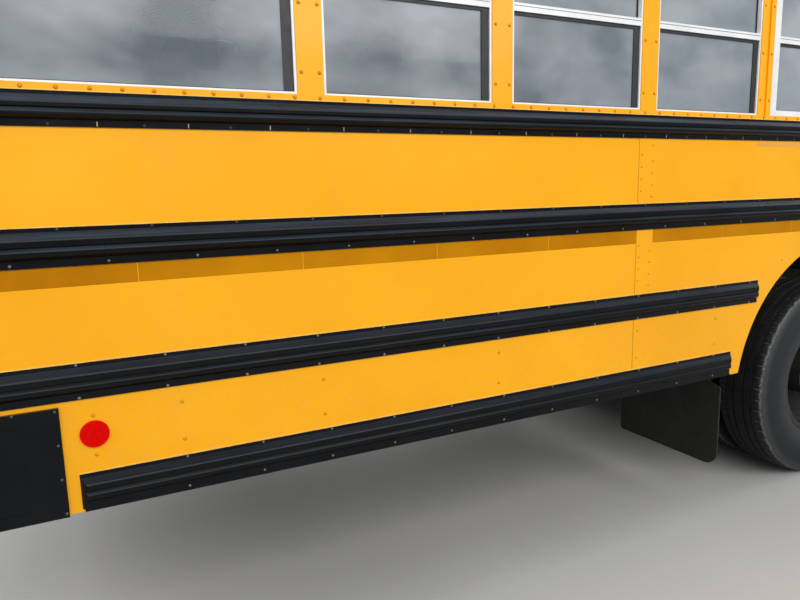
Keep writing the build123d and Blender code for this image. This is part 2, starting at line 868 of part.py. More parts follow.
def barrel_points():
    """Barrel with a flange at each edge."""
    half = rim_width / 2
    thin = rim_seat_r - rim_skin
    return [
        (-half, rim_flange_r), (-half, thin), (half, thin), (half, rim_flange_r),
        (half - rim_skin, rim_flange_r), (half - rim_skin, rim_seat_r),
        (-half + rim_skin, rim_seat_r), (-half + rim_skin, rim_flange_r),
    ]


def disc_points(start, middle, thin):
    """Dished disc from the barrel to the hub. start and middle are its offsets at the rim and at the hub."""
    return [
        (start, thin + 1), (start, thin - 30), (middle, 190), (middle, hub_r - 2),
        (middle + disc_skin, hub_r - 2), (middle + disc_skin, 196), (start + disc_skin, thin - 24),
        (start + disc_skin, thin + 1),
    ]


def wheel_rim(x, y, side, start, middle):
    thin = rim_seat_r - rim_skin
    barrel = turned(barrel_points(), x, y)
    disc = turned([(side * a, r) for a, r in disc_points(start, middle, thin)], x, y)
    reach = abs(start) + abs(middle) + 2 * disc_skin
    for index in range(hand_holes):
        turn = 2 * math.pi * index / hand_holes + math.pi / 2
        across, up = x + hand_hole_at * math.cos(turn), tyre_r + hand_hole_at * math.sin(turn)
        disc -= rod((across, y - reach, up), (across, y + reach, up), hand_hole_r)
    return barrel + disc


def hub(x, y, side, low, high):
    """Hub and brake drum turned about their spindle, closed at the outer end."""
    bore = spindle_r + pin_gap
    cap_r = hub_r - hub_cap
    points = [
        (low, bore), (high - hub_cap, bore), (high - hub_cap, 0), (high, 0),
        (high, cap_r), (high - hub_cap, hub_r), (low + drum_width, hub_r), (low + drum_width, drum_r),
        (low, drum_r),
    ]
    return turned([(side * a, r) for a, r in points], x, y)


def make_rear_rims(side):
    """Twin rims, whose discs meet between the tyres, and their common hub."""
    y_mid = (twin_outer_y + twin_inner_y) / 2
    outer = wheel_rim(x_rear_axle, side * twin_outer_y, side, -20, y_mid - twin_outer_y)
    inner = wheel_rim(x_rear_axle, side * twin_inner_y, side, 10, y_mid - twin_inner_y - disc_skin)
    centre = hub(x_rear_axle, side * y_mid, side, hub_inner_y - y_mid, twin_outer_y + hub_reach - y_mid)
    return outer + inner + centre


def make_front_rim(side):
    rim = wheel_rim(x_front_axle, side * steer_y, side, 20, 90)
    return rim + hub(x_front_axle, side * steer_y, side, -50, hub_steer_reach)


# Hood with its fenders

def hood_section(x, half, high, inset):
    h, top, r = half - inset, high - inset, hood_edge_r - inset
    low = hood_low_z - 20
    points = [(-h, low), (h, low), (h, top), (-h, top)]
    return Plane.YZ.offset(x) * outline(points, [0, 0, r, r])


def hood_form(inset):
    x = (x_cowl + hood_gap, x_hood_front)
    body = loft(
        [
            hood_section(x[0], hood_rear_half, hood_rear_z, inset),
            hood_section(x[1], hood_front_half, hood_front_z, inset),
        ],
        ruled=True,
    )
    low = hood_low_z if inset == 0 else hood_low_z - 10
    front = x[1] - inset
    nose = outline(
        [(x[0] - 10, low), (front, low), (front, hood_front_z - inset * 0.5), (x[0] - 10, hood_rear_z + 100)],
        [0, 0, hood_nose_r, 0],
    )
    return body & along_y(nose, (-1000, 1000))


def fender_form(inset):
    """Left fender: side profile extruded across, with its top outer edge rounded."""
    x = (x_cowl + hood_gap, x_fender_front - inset)
    y = (fender_inner_y + inset, fender_half - inset)
    low = fender_low_z if inset == 0 else fender_low_z - 20
    top = fender_top_z - inset
    profile = outline(
        [(x[0] + inset, low), (x[1], low), (x[1], fender_front_z - inset), (x_front_axle + 250, top),
         (x[0] + inset, top)],
        [0, 0, 140, 300, 0],
    )
    section = outline(
        [(y[0], low - 10), (y[1], low - 10), (y[1], top), (y[0], top)],
        [0, 0, fender_edge_r, 0],
    )
    return along_y(profile, y) & along_x(section, (x[0] - 10, x[1] + 10))


grille_y = 480
grille_z = (920, 1180)
lamp_y = (800, 1090)
lamp_z = (830, 980)


def make_hood():
    fender = fender_form(0)
    fender_inside = fender_form(hood_skin)
    form = hood_form(0) + pair(fender)
    inside = hood_form(hood_skin) + pair(fender_inside)
    part = form - inside
    for side in (-1, 1):
        y = sorted((side * 400, side * (fender_half + 50)))
        part -= rod((x_front_axle, y[0], tyre_r), (x_front_axle, y[1], tyre_r), hood_arch_r)
        lamp = sorted(side * value for value in lamp_y)
        part -= block((x_fender_front - 60, x_fender_front + 20), lamp, lamp_z)
        arm_y = sorted((side * (rail_outer_y + 20), side * (rail_outer_y + 40)))
        arm = block((hood_hinge_x - 25, x_hood_front - hood_skin), arm_y, (hood_hinge_z - 25, grille_z[0]))
        part += arm
        part -= rod((hood_hinge_x, arm_y[0] - 1, hood_hinge_z), (hood_hinge_x, arm_y[1] + 1, hood_hinge_z), hinge_pin_r + pin_gap)
    part -= block((x_hood_front - 60, x_hood_front + 20), (-grille_y, grille_y), grille_z)
    return part


def make_grille():
    """Frame and horizontal bars in the hood's front opening."""
    gap = seat_gap
    x = (x_hood_front - hood_skin - 10, x_hood_front - 1)
    frame = block(x, (-grille_y + gap, grille_y - gap), (grille_z[0] + gap, grille_z[1] - gap))
    frame -= block((x[0] - 1, x[1] + 1), (-grille_y + 25, grille_y - 25), (grille_z[0] + 25, grille_z[1] - 25))
    count = 6
    step = (grille_z[1] - grille_z[0] - 50) / (count + 1)
    bars = []
    for index in range(count):
        z = grille_z[0] + 25 + step * (index + 1)
        bars.append(block((x[0] + 2, x[1] - 2), (-grille_y + 24, grille_y - 24), (z - 7, z + 7)))
    return fuse([frame] + bars)


def make_headlamps():
    gap = seat_gap
    lamp = block(
        (x_fender_front - 50, x_fender_front - 1),
        (lamp_y[0] + gap, lamp_y[1] - gap),
        (lamp_z[0] + gap, lamp_z[1] - gap),
    )
    return pair(lamp)


# Doors

def hinge(axis_point, z_list, toward_fixed, toward_moving, seat):
    """Three-knuckle hinges about one upright axis.

    toward_fixed and toward_moving are unit vectors in plan from the axis along each leaf.
    seat is the vector in plan from the axis to the panel's face. Returns the fixed and the moving pieces.
    """
    barrel_r, pin_r, knuckle, leaf_width, plate = 9, 4, 40, 60, 3
    x, y = axis_point
    fixed, moving = [], []
    for z in z_list:
        spans = [(z - 1.5 * knuckle, z - 0.5 * knuckle - 1), (z + 0.5 * knuckle + 1, z + 1.5 * knuckle)]
        pieces = [rod((x, y, spans[0][0]), (x, y, spans[1][1]), pin_r)]
        for span in spans:
            pieces.append(rod((x, y, span[0]), (x, y, span[1]), barrel_r))
            pieces.append(hinge_leaf(x, y, toward_fixed, seat, span, leaf_width, plate))
        link = (spans[0][1] - 5, spans[1][0] + 5)
        far = hinge_leaf(x, y, toward_fixed, seat, link, leaf_width, plate, near=barrel_r + 8)
        fixed.append(fuse(pieces + [far]))
        span = (z - 0.5 * knuckle, z + 0.5 * knuckle)
        knuckle_part = rod((x, y, span[0]), (x, y, span[1]), barrel_r)
        knuckle_part += hinge_leaf(x, y, toward_moving, seat, span, leaf_width, plate)
        moving.append(knuckle_part - rod((x, y, span[0] - 1), (x, y, span[1] + 1), pin_r + pin_gap))
    return fixed, moving


def hinge_leaf(x, y, toward, seat, z, width, plate, near=0):
    """Flat leaf of a hinge, lying on the panel's face."""
    depth = math.hypot(*seat)
    unit = (seat[0] / depth, seat[1] / depth)
    a = (x + toward[0] * near + unit[0] * (depth - plate), y + toward[1] * near + unit[1] * (depth - plate))
    b = (x + toward[0] * width + unit[0] * depth, y + toward[1] * width + unit[1] * depth)
    return block(sorted((a[0], b[0])), sorted((a[1], b[1])), z)


rear_hinge = (x_rear - 11, -rear_door_half)
rear_hinge_z = (1400, 1800, 2250)
rear_fixed, rear_moving = hinge(rear_hinge, rear_hinge_z, (0, -1), (0, 1), (11 - seat_gap, 0))

x_leaf_middle = (x_door_rear + x_door_front) / 2
front_hinge = (x_door_front, -body_half - 11)
door_rear_hinge = (x_door_rear, -body_half - 11)
door_hinge_z = (950, 1650, 2300)
front_fixed, front_moving = hinge(front_hinge, door_hinge_z, (1, 0), (-1, 0), (0, 11 - seat_gap))
back_fixed, back_moving = hinge(door_rear_hinge, door_hinge_z, (-1, 0), (1, 0), (0, 11 - seat_gap))

leaf_y = (-body_half, -body_half + leaf)
leaf_frame = 60
leaf_mid_z = 1350


def leaf_panes(x):
    """Openings of a door leaf: a low pane and a tall upper pane."""
    inner = (x[0] + leaf_frame, x[1] - leaf_frame)
    return [
        (inner, (door_low_z + 180, leaf_mid_z - 40)),
        (inner, (leaf_mid_z + 40, door_high_z - leaf_frame - door_gap)),
    ]


def make_leaf(x, moving):
    part = block(x, leaf_y, (door_low_z, door_high_z - door_gap))
    for span, z in leaf_panes(x):
        part -= block(span, (leaf_y[0] - 1, leaf_y[1] + 1), z)
    for knuckle in moving:
        part += Pos(0, seat_gap, 0) * knuckle
    return part


def leaf_glass(x):
    panes = []
    for span, z in leaf_panes(x):
        panes.append(
            block(
                (span[0] + seat_gap, span[1] - seat_gap),
                (leaf_y[0] + 15, leaf_y[0] + 15 + glass),
                (z[0] + seat_gap, z[1] - seat_gap),
            )
        )
    return panes


leaf_front_x = (x_leaf_middle + leaf_meeting_gap / 2, x_door_front - door_gap)
leaf_rear_x = (x_door_rear + door_gap, x_leaf_middle - leaf_meeting_gap / 2)

rear_panel_y = (-rear_door_half + door_gap, rear_door_half - door_gap)
rear_panel_z = (rear_door_low_z + door_gap, rear_door_high_z - door_gap)
rear_window_y = (rear_panel_y[0] + 90, rear_panel_y[1] - 90)
rear_door_panes = [(1330, 1690), (1840, rear_door_high_z - 110)]
door_handle_y = 330
door_handle_z = (1750, 1830)
door_handle_reach = 40
door_handle_r = 10


def make_emergency_door():
    part = block((x_rear, x_rear + 45), rear_panel_y, rear_panel_z)
    for z in rear_door_panes:
        part -= block((x_rear - 1, x_rear + 46), rear_window_y, z)
    for knuckle in rear_moving:
        part += Pos(seat_gap, 0, 0) * knuckle
    low, high = door_handle_z
    reach = x_rear - door_handle_reach
    handle = rod((reach, door_handle_y, low), (reach, door_handle_y, high), door_handle_r)
    for z in door_handle_z:
        end = reach - door_handle_r + 2
        handle += rod((end, door_handle_y, z), (x_rear + 5, door_handle_y, z), door_handle_r)
    return part + handle


def emergency_glass():
    panes = []
    for z in rear_door_panes:
        y = (rear_window_y[0] + seat_gap, rear_window_y[1] - seat_gap)
        panes.append(block((x_rear + 15, x_rear + 15 + glass), y, (z[0] + seat_gap, z[1] - seat_gap)))
    return panes


# Stop arm on the left side, folded against the wall

stop_x = x_last_post - 240
stop_z = 1625
stop_hinge_y = body_half + 45
stop_size = 228
stop_skin = 8
stop_arm_reach = 80
stop_arm_half = 60
stop_sleeve_r = 14
stop_pin_r = 7
stop_foot = 25


def make_stop_arm():
    """Octagonal sign on a short arm that turns about an upright pin."""
    sign_x = stop_x - stop_arm_reach + 20 - stop_size
    y = (stop_hinge_y - stop_skin / 2, stop_hinge_y + stop_skin / 2)
    z = (stop_z - stop_arm_half, stop_z + stop_arm_half)
    octagon = RegularPolygon(stop_size, 8, major_radius=False, rotation=22.5)
    sign = along_y(Pos(sign_x, stop_z) * octagon, y)
    arm = block((stop_x - stop_arm_reach, stop_x), y, z)
    sleeve = rod((stop_x, stop_hinge_y, z[0]), (stop_x, stop_hinge_y, z[1]), stop_sleeve_r)
    bore = rod((stop_x, stop_hinge_y, z[0] - 1), (stop_x, stop_hinge_y, z[1] + 1), stop_pin_r + pin_gap)
    return sign + arm + sleeve - bore


def stop_bracket():
    near = stop_arm_half + door_gap - 1
    far = near + stop_foot
    seat = body_half + seat_gap
    low, high = stop_z - far, stop_z + far
    parts = [rod((stop_x, stop_hinge_y, low), (stop_x, stop_hinge_y, high), stop_pin_r)]
    for z in ((low, stop_z - near), (stop_z + near, high)):
        parts.append(block((stop_x - 15, stop_x + 15), (seat, stop_hinge_y + stop_sleeve_r), z))
    parts.append(block((stop_x - stop_foot, stop_x + stop_foot), (seat, body_half + 8), (low, high)))
    return fuse(parts)


# Roof hatch

hatch_rim = hatch_half + coaming
hatch_hinge_x = hatch_x + hatch_rim + 16
hatch_hinge_z = coaming_high_z + 12
hatch_ear_r = 9


def make_roof_hatch():
    """Lid that sits over the coaming."""
    gap = 1
    x = (hatch_x - hatch_rim - 10, hatch_x + hatch_rim)
    lid = block(x, (-hatch_rim - 10, hatch_rim + 10), (coaming_high_z + gap, coaming_high_z + hatch_lid))
    for side in (-1, 1):
        y = (side * 200 - 30, side * 200 + 30)
        lid += block((hatch_x + hatch_rim - 20, hatch_hinge_x), y, (hatch_hinge_z - 8, hatch_hinge_z + 8))
        lid += rod((hatch_hinge_x, y[0], hatch_hinge_z), (hatch_hinge_x, y[1], hatch_hinge_z), 10)
        lid -= rod((hatch_hinge_x, y[0] - 1, hatch_hinge_z), (hatch_hinge_x, y[1] + 1, hatch_hinge_z), 5 + pin_gap)
    return lid


def hatch_brackets():
    brackets = []
    for side in (-1, 1):
        y = side * 200
        parts = [rod((hatch_hinge_x, y - 50, hatch_hinge_z), (hatch_hinge_x, y + 50, hatch_hinge_z), 5)]
        for end in (-1, 1):
            edge = sorted((y + end * 34, y + end * 50))
            foot_x = (hatch_x + hatch_rim + seat_gap, hatch_hinge_x + hatch_ear_r)
            parts.append(block(foot_x, edge, (coaming_high_z - 22, coaming_high_z - 5)))
            ear_x = (hatch_hinge_x - hatch_ear_r, hatch_hinge_x + hatch_ear_r)
            parts.append(block(ear_x, edge, (coaming_high_z - 22, hatch_hinge_z)))
            ear_ends = [(hatch_hinge_x, edge_y, hatch_hinge_z) for edge_y in edge]
            parts.append(rod(*ear_ends, hatch_ear_r))
        brackets.append(fuse(parts))
    return brackets


def make_body_hinges():
    return rear_fixed + front_fixed + back_fixed + [stop_bracket()] + hatch_brackets()


# Seats

def seat_rows():
    start = x_rear + wall + seat_from_rear
    return [start + index * window_pitch for index in range(window_count + 1)]


seat_from_wall = 8
seat_y = (inner_y - seat_from_wall - seat_width, inner_y - seat_from_wall)


def seat_cushion(x, y):
    profile = outline(
        [(x, seat_low_z), (x + seat_depth, seat_low_z), (x + seat_depth, seat_high_z), (x, seat_high_z)],
        [0, 20, 55, 0],
    )
    return along_y(profile, y)


def seat_back_panel(x, y, high):
    """Upright back with rounded shoulders."""
    low = seat_low_z
    face = outline(
        [(y[0], low), (y[1], low), (y[1], high - 150), (y[1] - 110, high), (y[0] + 110, high), (y[0], high - 150)],
        [0, 0, 90, 70, 70, 90],
    )
    return along_x(face, x)


x_driver_seat = x_last_post + 120
driver_y = (360, 860)
driver_seat_lift = 100
driver_back = 99.5
pedestal_from_back = 290
pedestal_half = 150


def make_seat_cushions():
    cushions = []
    for x in seat_rows():
        back = seat_back_panel((x, x + seat_back), seat_y, back_high_z)
        cushion = seat_cushion(x + seat_back + 0.5, seat_y)
        cushions.extend(pair(back) + pair(cushion))
    x = seat_rows()[-1] + window_pitch
    cushions.extend(pair(seat_back_panel((x, x + seat_back), seat_y, back_high_z)))
    cushion = seat_cushion(x_driver_seat + driver_back + 0.5, driver_y)
    back = seat_back_panel((x_driver_seat, x_driver_seat + driver_back), driver_y, back_high_z)
    return cushions + [Pos(0, 0, driver_seat_lift) * shape for shape in (cushion, back)]


frame_from_back = 20
frame_length = 400
frame_tube = 40
frame_rise = 30
frame_overhang = 40
leg_half = 15
leg_from_aisle = 120
leg_in = 20
foot_half = 35
foot_skin = 6
wall_rail = 8


def make_seat_frames():
    """Legs on the aisle side, side rails under the cushion, and a rail along the wall."""
    frames = []
    leg_y = seat_y[0] + leg_from_aisle
    for x in seat_rows():
        top = seat_low_z - seat_gap
        near, far = x + frame_from_back, x + frame_from_back + frame_length
        across = (seat_y[0] + frame_overhang, seat_y[1])
        leg_across = (leg_y - leg_half, leg_y + leg_half)
        parts = [
            block((near, near + frame_tube), across, (top - frame_rise, top)),
            block((far - frame_tube, far), across, (top - frame_rise, top)),
            block((near, far), leg_across, (top - frame_rise, top)),
            block((near, far), (leg_y - foot_half, leg_y + foot_half), (floor_z, floor_z + foot_skin)),
            block((near, far), (inner_y - wall_rail, inner_y), (top - 2 * frame_rise, top)),
        ]
        for start in (near + leg_in, far - leg_in - 2 * leg_half):
            parts.append(block((start, start + 2 * leg_half), leg_across, (floor_z, top - frame_rise / 2)))
        frames.extend(pair(fuse(parts)))
    x = seat_rows()[-1] + window_pitch + frame_from_back
    post_x = (x, x + frame_tube)
    post_y = (leg_y, seat_y[1] - leg_from_aisle)
    parts = [block(post_x, (y, y + frame_tube), (floor_z, seat_low_z - seat_gap)) for y in post_y]
    parts.append(block(post_x, (post_y[0], post_y[1] + frame_tube), (floor_z, floor_z + foot_skin)))
    frames.extend(pair(fuse(parts)))
    low = seat_low_z + driver_seat_lift - seat_gap
    middle_x, middle_y = x_driver_seat + pedestal_from_back, sum(driver_y) / 2
    pedestal_x = (middle_x - pedestal_half, middle_x + pedestal_half)
    pedestal_y = (middle_y - pedestal_half, middle_y + pedestal_half)
    return frames + [block(pedestal_x, pedestal_y, (floor_z, low))]


# Dashboard, steering column and wheel

dash_low_z = floor_z + 260
dash_high_z = floor_z + 600


def make_dashboard():
    front = x_cowl - wall
    profile = outline(
        [
            (front - 330, dash_low_z + 120), (front - 40, dash_low_z),
            (front - 40, dash_high_z), (front - 260, dash_high_z),
        ],
        [20, 0, 0, 60],
    )
    board = along_y(profile, (-300, inner_y - front_corner_r))
    shelf = block((front - 60, front), (-300, inner_y - 250), (dash_low_z, dash_high_z - 40))
    middle = (driver_y[0] + driver_y[1]) / 2
    wheel_centre = (front - 520, middle, dash_high_z + 200)
    foot = (front - 200, middle, dash_low_z + 180)
    column = rod(wheel_centre, foot, 30)
    direction = Vector(*wheel_centre) - Vector(*foot)
    plane = Plane(origin=wheel_centre, z_dir=direction)
    ring = plane * Torus(225, 15)
    spokes = [plane * Rot(0, 0, angle) * Pos(112, 0, 0) * Box(226, 40, 14) for angle in (90, 210, 330)]
    return fuse([board, shelf, column, ring] + spokes)


# Lamps, drawn as short round lenses on the surface that carries them

def lens(point, normal, r, depth):
    start = Vector(*point) + Vector(*normal).normalized() * seat_gap
    end = start + Vector(*normal).normalized() * depth
    return rod(tuple(start), tuple(end), r)


front_slope = Vector(roof_z + cap_rise - hood_rear_z - 20, 0, windscreen_lean).normalized()


def on_front_slope(y, z):
    """Point on the leaning front face at height z."""
    share = (z - hood_rear_z - 20) / (roof_z + cap_rise - hood_rear_z - 20)
    return x_cowl - windscreen_lean * share, y, z


warning_z = 2690
red_warning_y = 930
amber_warning_y = 690
warning_r = 88
lens_depth = 22
visor_skin = 4
visor_depth = 75
visor_lip = 0.35
marker_z = 2812
marker_r = 20
marker_depth = 14
marker_y = (-960, -160, 0, 160, 960)
tail_lamp = (960, 1200)
turn_lamp = (740, 1200)
side_reflector_r = 39
side_reflector_depth = 6
rear_face = (-1, 0, 0)


def warning_places(y):
    """Where the warning lamps at one distance from the middle sit, and which way each faces."""
    places = []
    for side in (-1, 1):
        places.append(((x_rear, side * y, warning_z), rear_face))
        places.append((on_front_slope(side * y, warning_z), tuple(front_slope)))
    return places


def warning_lamps(y):
    return [lens(point, normal, warning_r, lens_depth) for point, normal in warning_places(y)]


def lamp_visor(point, normal):
    """Half-round hood over a warning lamp, deepest at its top."""
    inner = warning_r + seat_gap
    ring = lens(point, normal, inner + visor_skin, visor_depth) - lens(point, normal, inner, visor_depth + 1)
    axis = Vector(*normal).normalized()
    upward = (Vector(0, 0, 1) - axis * axis.Z).normalized()
    reach = inner + 2 * visor_skin
    far = visor_depth + visor_skin
    cut = []
    for out, lift in ((0, 0), (0, -reach), (far, -reach), (far, visor_lip * reach)):
        corner = Vector(*point) + axis * out + upward * lift
        cut.append((corner.X, corner.Z))
    return ring - along_y(make_face(Polyline(*cut, close=True)), (point[1] - reach, point[1] + reach))


def make_lamp_visors():
    visors = []
    for y in (red_warning_y, amber_warning_y):
        visors.extend(lamp_visor(point, normal) for point, normal in warning_places(y))
    return visors


reflector_x = x_rear + 482
reflector_z = 912
front_reflector_x = x_door_rear - 400


def side_reflector(x):
    return lens((x, body_half, reflector_z), (0, 1, 0), side_reflector_r, side_reflector_depth)


def make_red_lamps():
    """Red warning lamps, tail lamps, rear markers and the round side reflectors."""
    lamps = warning_lamps(red_warning_y)
    lamps.extend(pair(lens((x_rear, *tail_lamp), rear_face, warning_r, lens_depth)))
    lamps.extend(pair(side_reflector(reflector_x)))
    lamps.extend(lens((x_rear, y, marker_z), rear_face, marker_r, marker_depth) for y in marker_y)
    return lamps


def make_amber_lamps():
    """Amber warning lamps, rear turn lamps, front markers and the round front side reflectors."""
    lamps = warning_lamps(amber_warning_y)
    lamps.extend(pair(lens((x_rear, *turn_lamp), rear_face, warning_r, lens_depth)))
    lamps.extend(pair(side_reflector(front_reflector_x)))
    normal = tuple(front_slope)
    lamps.extend(lens(on_front_slope(y, marker_z), normal, marker_r, marker_depth) for y in marker_y)
    return lamps


front_turn_r = 38
front_turn_y = 752


def make_hood_turn_lamps():
    """Round amber turn lamp beside each headlamp, on the fender's face."""
    height = sum(lamp_z) / 2
    return pair(lens((x_fender_front, front_turn_y, height), (1, 0, 0), front_turn_r, lens_depth))


mirror_x = x_cowl - 130
mirror_head_y = 1560
mirror_head = (60, 220, 500)
mirror_head_low_z = 1790
mirror_arm_z = (1850, 2200)
mirror_arm_r = 12
mirror_foot_r = 30


def make_mirrors():
    """A flat mirror head on two arms at each front corner post."""
    parts = []
    head_x = mirror_x + 60
    for z in mirror_arm_z:
        root = (mirror_x, body_half - 60, z)
        parts.append(rod(root, (head_x, mirror_head_y, z + 20), mirror_arm_r))
        parts.append(rod(root, (mirror_x, body_half + 6, z), mirror_foot_r))
    depth, width, height = mirror_head
    shell_part = block(
        (head_x - depth / 2, head_x + depth / 2),
        (mirror_head_y - width / 2, mirror_head_y + width / 2),
        (mirror_head_low_z, mirror_head_low_z + height),
    )
    parts.append(fillet(shell_part.edges().filter_by(Axis.X), 40))
    arms = fuse(parts) - envelope(-seat_gap)
    return pair(max(arms.solids(), key=lambda solid: solid.volume))


cross_mirror_x = x_fender_front - 130
cross_mirror_y = fender_half - 190
cross_mirror_z = fender_top_z + 290
cross_mirror_r = 125
cross_mirror_bulge = 55
cross_mirror_stalk_r = 9
cross_mirror_feet = ((-330, -60), (-70, -110), (-150, 60))


def make_hood_mirrors():
    """Convex mirror on three stalks above each front fender, facing back and down."""
    facing = Vector(-1, 0, -0.45).normalized()
    centre = Vector(cross_mirror_x, cross_mirror_y, cross_mirror_z)
    plane = Plane(origin=centre, x_dir=(0, 1, 0), z_dir=facing)
    bowl_r = (cross_mirror_r**2 + cross_mirror_bulge**2) / (2 * cross_mirror_bulge)
    ball = Pos(0, 0, cross_mirror_bulge - bowl_r) * Sphere(bowl_r)
    rim = Pos(0, 0, -6) * Cylinder(cross_mirror_r, 12)
    head = plane * ((ball & Pos(0, 0, bowl_r / 2) * Box(4 * bowl_r, 4 * bowl_r, bowl_r)) + rim)
    back = centre - facing * 8
    parts = [head]
    for along, across in cross_mirror_feet:
        foot = (cross_mirror_x + along, cross_mirror_y + across, fender_front_z - 60)
        parts.append(rod(foot, (back.X, back.Y, back.Z), cross_mirror_stalk_r))
    stalks = fuse(parts) - fender_form(-seat_gap)
    return pair(max(stalks.solids(), key=lambda solid: solid.volume))


wiper_pivot = (260, 1718)
wiper_blade_y = (330, 960)
wiper_blade_z = 1778
wiper_arm_r = 6
wiper_blade_r = 5
wiper_boss_r = 18
wiper_lift = 14


def make_wipers():
    """Parked wiper below each half of the windscreen: pivot boss, arm and blade."""
    lift = front_slope * wiper_lift
    pivot = Vector(*on_front_slope(*wiper_pivot))
    middle_y = sum(wiper_blade_y) / 2
    joint = Vector(*on_front_slope(middle_y, wiper_blade_z)) + lift
    ends = [Vector(*on_front_slope(y, wiper_blade_z)) + lift for y in wiper_blade_y]
    boss = rod(tuple(pivot + front_slope * seat_gap), tuple(pivot + front_slope * (wiper_lift + 10)), wiper_boss_r)
    arm = rod(tuple(pivot + lift), tuple(joint), wiper_arm_r)
    blade = rod(tuple(ends[0]), tuple(ends[1]), wiper_blade_r)
    return pair(fuse([boss, arm, blade]))


# Tanks, exhaust and mud flaps

tank_x = (x_door_rear - 1730, x_door_rear - 330)
tank_y = (-body_half + 160, -rail_outer_y - 60)
tank_z = (rail_low_z - 120, rail_low_z + 220)


def make_fuel_tank():
    """Tank beside the right rail, hung on two brackets."""
    tank = block(tank_x, tank_y, tank_z)
    tank = fillet(tank.edges().filter_by(Axis.X), 60)
    for x in (tank_x[0] + 250, tank_x[1] - 250):
        bracket_y = (tank_y[1] - 90, -rail_outer_y - seat_gap)
        tank += block((x - 30, x + 30), bracket_y, (rail_low_z + 40, rail_low_z + 160))
    return tank


silencer_r = 130
silencer_x = (x_rear_axle + 2315, x_rear_axle + 3415)
exhaust_front = x_cowl - 500
hangers_from_rear_axle = (-3385, -1385, 1415, 4415)


def make_exhaust():
    """Pipe along the left rail with one silencer, carried by hangers on the rail."""
    pipe = rod((x_rear_end + 3, exhaust_y, exhaust_z), (exhaust_front, exhaust_y, exhaust_z), exhaust_r)
    silencer_y = exhaust_y + 90
    silencer = rod((silencer_x[0], silencer_y, exhaust_z), (silencer_x[1], silencer_y, exhaust_z), silencer_r)
    part = pipe + silencer
    hangers = [x_rear_axle + offset for offset in hangers_from_rear_axle] + [exhaust_front - 100]
    for x in hangers:
        part += block((x - 20, x + 20), (rail_outer_y + seat_gap, exhaust_y), (exhaust_z - 20, exhaust_z + 20))
    return part


flap_x = x_arch - 786
flap_outer_y = body_half - 41
flap_inner_y = 560
flap_low_z = 215
flap_corner_r = 70
flap_inner_corner_r = 20
flap_notch_z = 610
flap_notch = 60
flap_t = 8


def make_mud_flaps():
    """Rubber sheet behind each pair of twins, narrower above, on a bar fixed to the rail."""
    top = rail_high_z - 20
    points = [
        (flap_inner_y, flap_low_z), (flap_outer_y, flap_low_z), (flap_outer_y, flap_notch_z),
        (flap_outer_y - flap_notch, flap_notch_z + 20), (flap_outer_y - flap_notch, top), (flap_inner_y, top),
    ]
    sheet = along_x(outline(points, [flap_inner_corner_r, flap_corner_r, 0, 0, 0, 0]), (flap_x, flap_x + flap_t))
    bar = block((flap_x - 30, flap_x), (rail_outer_y + seat_gap, flap_outer_y - flap_notch), (top - 60, top))
    return pair(sheet + bar)


nodes = {
    "chassis_frame": [make_chassis_frame()],
    "front_axle": [make_front_axle()],
    "rear_axle": [make_rear_axle()],
    "leaf_springs": make_leaf_springs(),
    "drivetrain": [make_drivetrain()],
    "fuel_tank": [make_fuel_tank()],
    "exhaust": [make_exhaust()],
    "mud_flaps": make_mud_flaps(),
    "front_bumper": [make_front_bumper()],
    "rear_bumper": [make_rear_bumper()],
    "floor": [make_floor()],
    "side_wall_right": [make_side_wall(-1)],
    "side_wall_left": [make_side_wall(1)],
    "rear_wall": [make_rear_wall()],
    "roof": [make_roof()],
    "front_end": [make_front_end()],
    "rub_rails": make_rub_rails(),
    "window_frames": make_window_frames(),
    "window_glass": make_window_glass(),
    "seat_cushions": make_seat_cushions(),
    "seat_frames": make_seat_frames(),
    "dashboard": [make_dashboard()],
    "red_lamps": make_red_lamps(),
    "amber_lamps": make_amber_lamps(),
    "mirrors": make_mirrors(),
    "hood_mirrors": make_hood_mirrors(),
    "lamp_visors": make_lamp_visors(),
    "wipers": make_wipers(),
    "body_hinges": make_body_hinges(),
    "hood": [make_hood()],
    "grille": [make_grille()],
    "headlamps": make_headlamps(),
    "hood_turn_lamps": make_hood_turn_lamps(),
    "knuckle_right": [make_knuckle(-1)],
    "knuckle_left": [make_knuckle(1)],
    "front_tyre_right": [tyre(x_front_axle, -steer_y)],
    "front_tyre_left": [tyre(x_front_axle, steer_y)],
    "front_rim_right": [make_front_rim(-1)],
    "front_rim_left": [make_front_rim(1)],
    "rear_tyres_right": [tyre(x_rear_axle, -y) for y in (twin_inner_y, twin_outer_y)],
    "rear_tyres_left": [tyre(x_rear_axle, y) for y in (twin_inner_y, twin_outer_y)],
    "rear_rims_right": [make_rear_rims(-1)],
    "rear_rims_left": [make_rear_rims(1)],
    "door_leaf_front": [make_leaf(leaf_front_x, front_moving)],
    "door_glass_front": leaf_glass(leaf_front_x),
    "door_leaf_rear": [make_leaf(leaf_rear_x, back_moving)],
    "door_glass_rear": leaf_glass(leaf_rear_x),
    "emergency_door": [make_emergency_door()],
    "emergency_glass": emergency_glass(),
    "stop_arm": [make_stop_arm()],
    "roof_hatch": [make_roof_hatch()],
}

os.makedirs("parts", exist_ok=True)
for name, shapes in nodes.items():
    solids = solids_of(shapes)
    shape = solids[0] if len(solids) == 1 else Compound(children=solids)
    export_step(shape, f"parts/{name}.step")
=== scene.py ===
import math

import bmesh
import bpy
from mathutils import Matrix, Vector
from mathutils.bvhtree import BVHTree


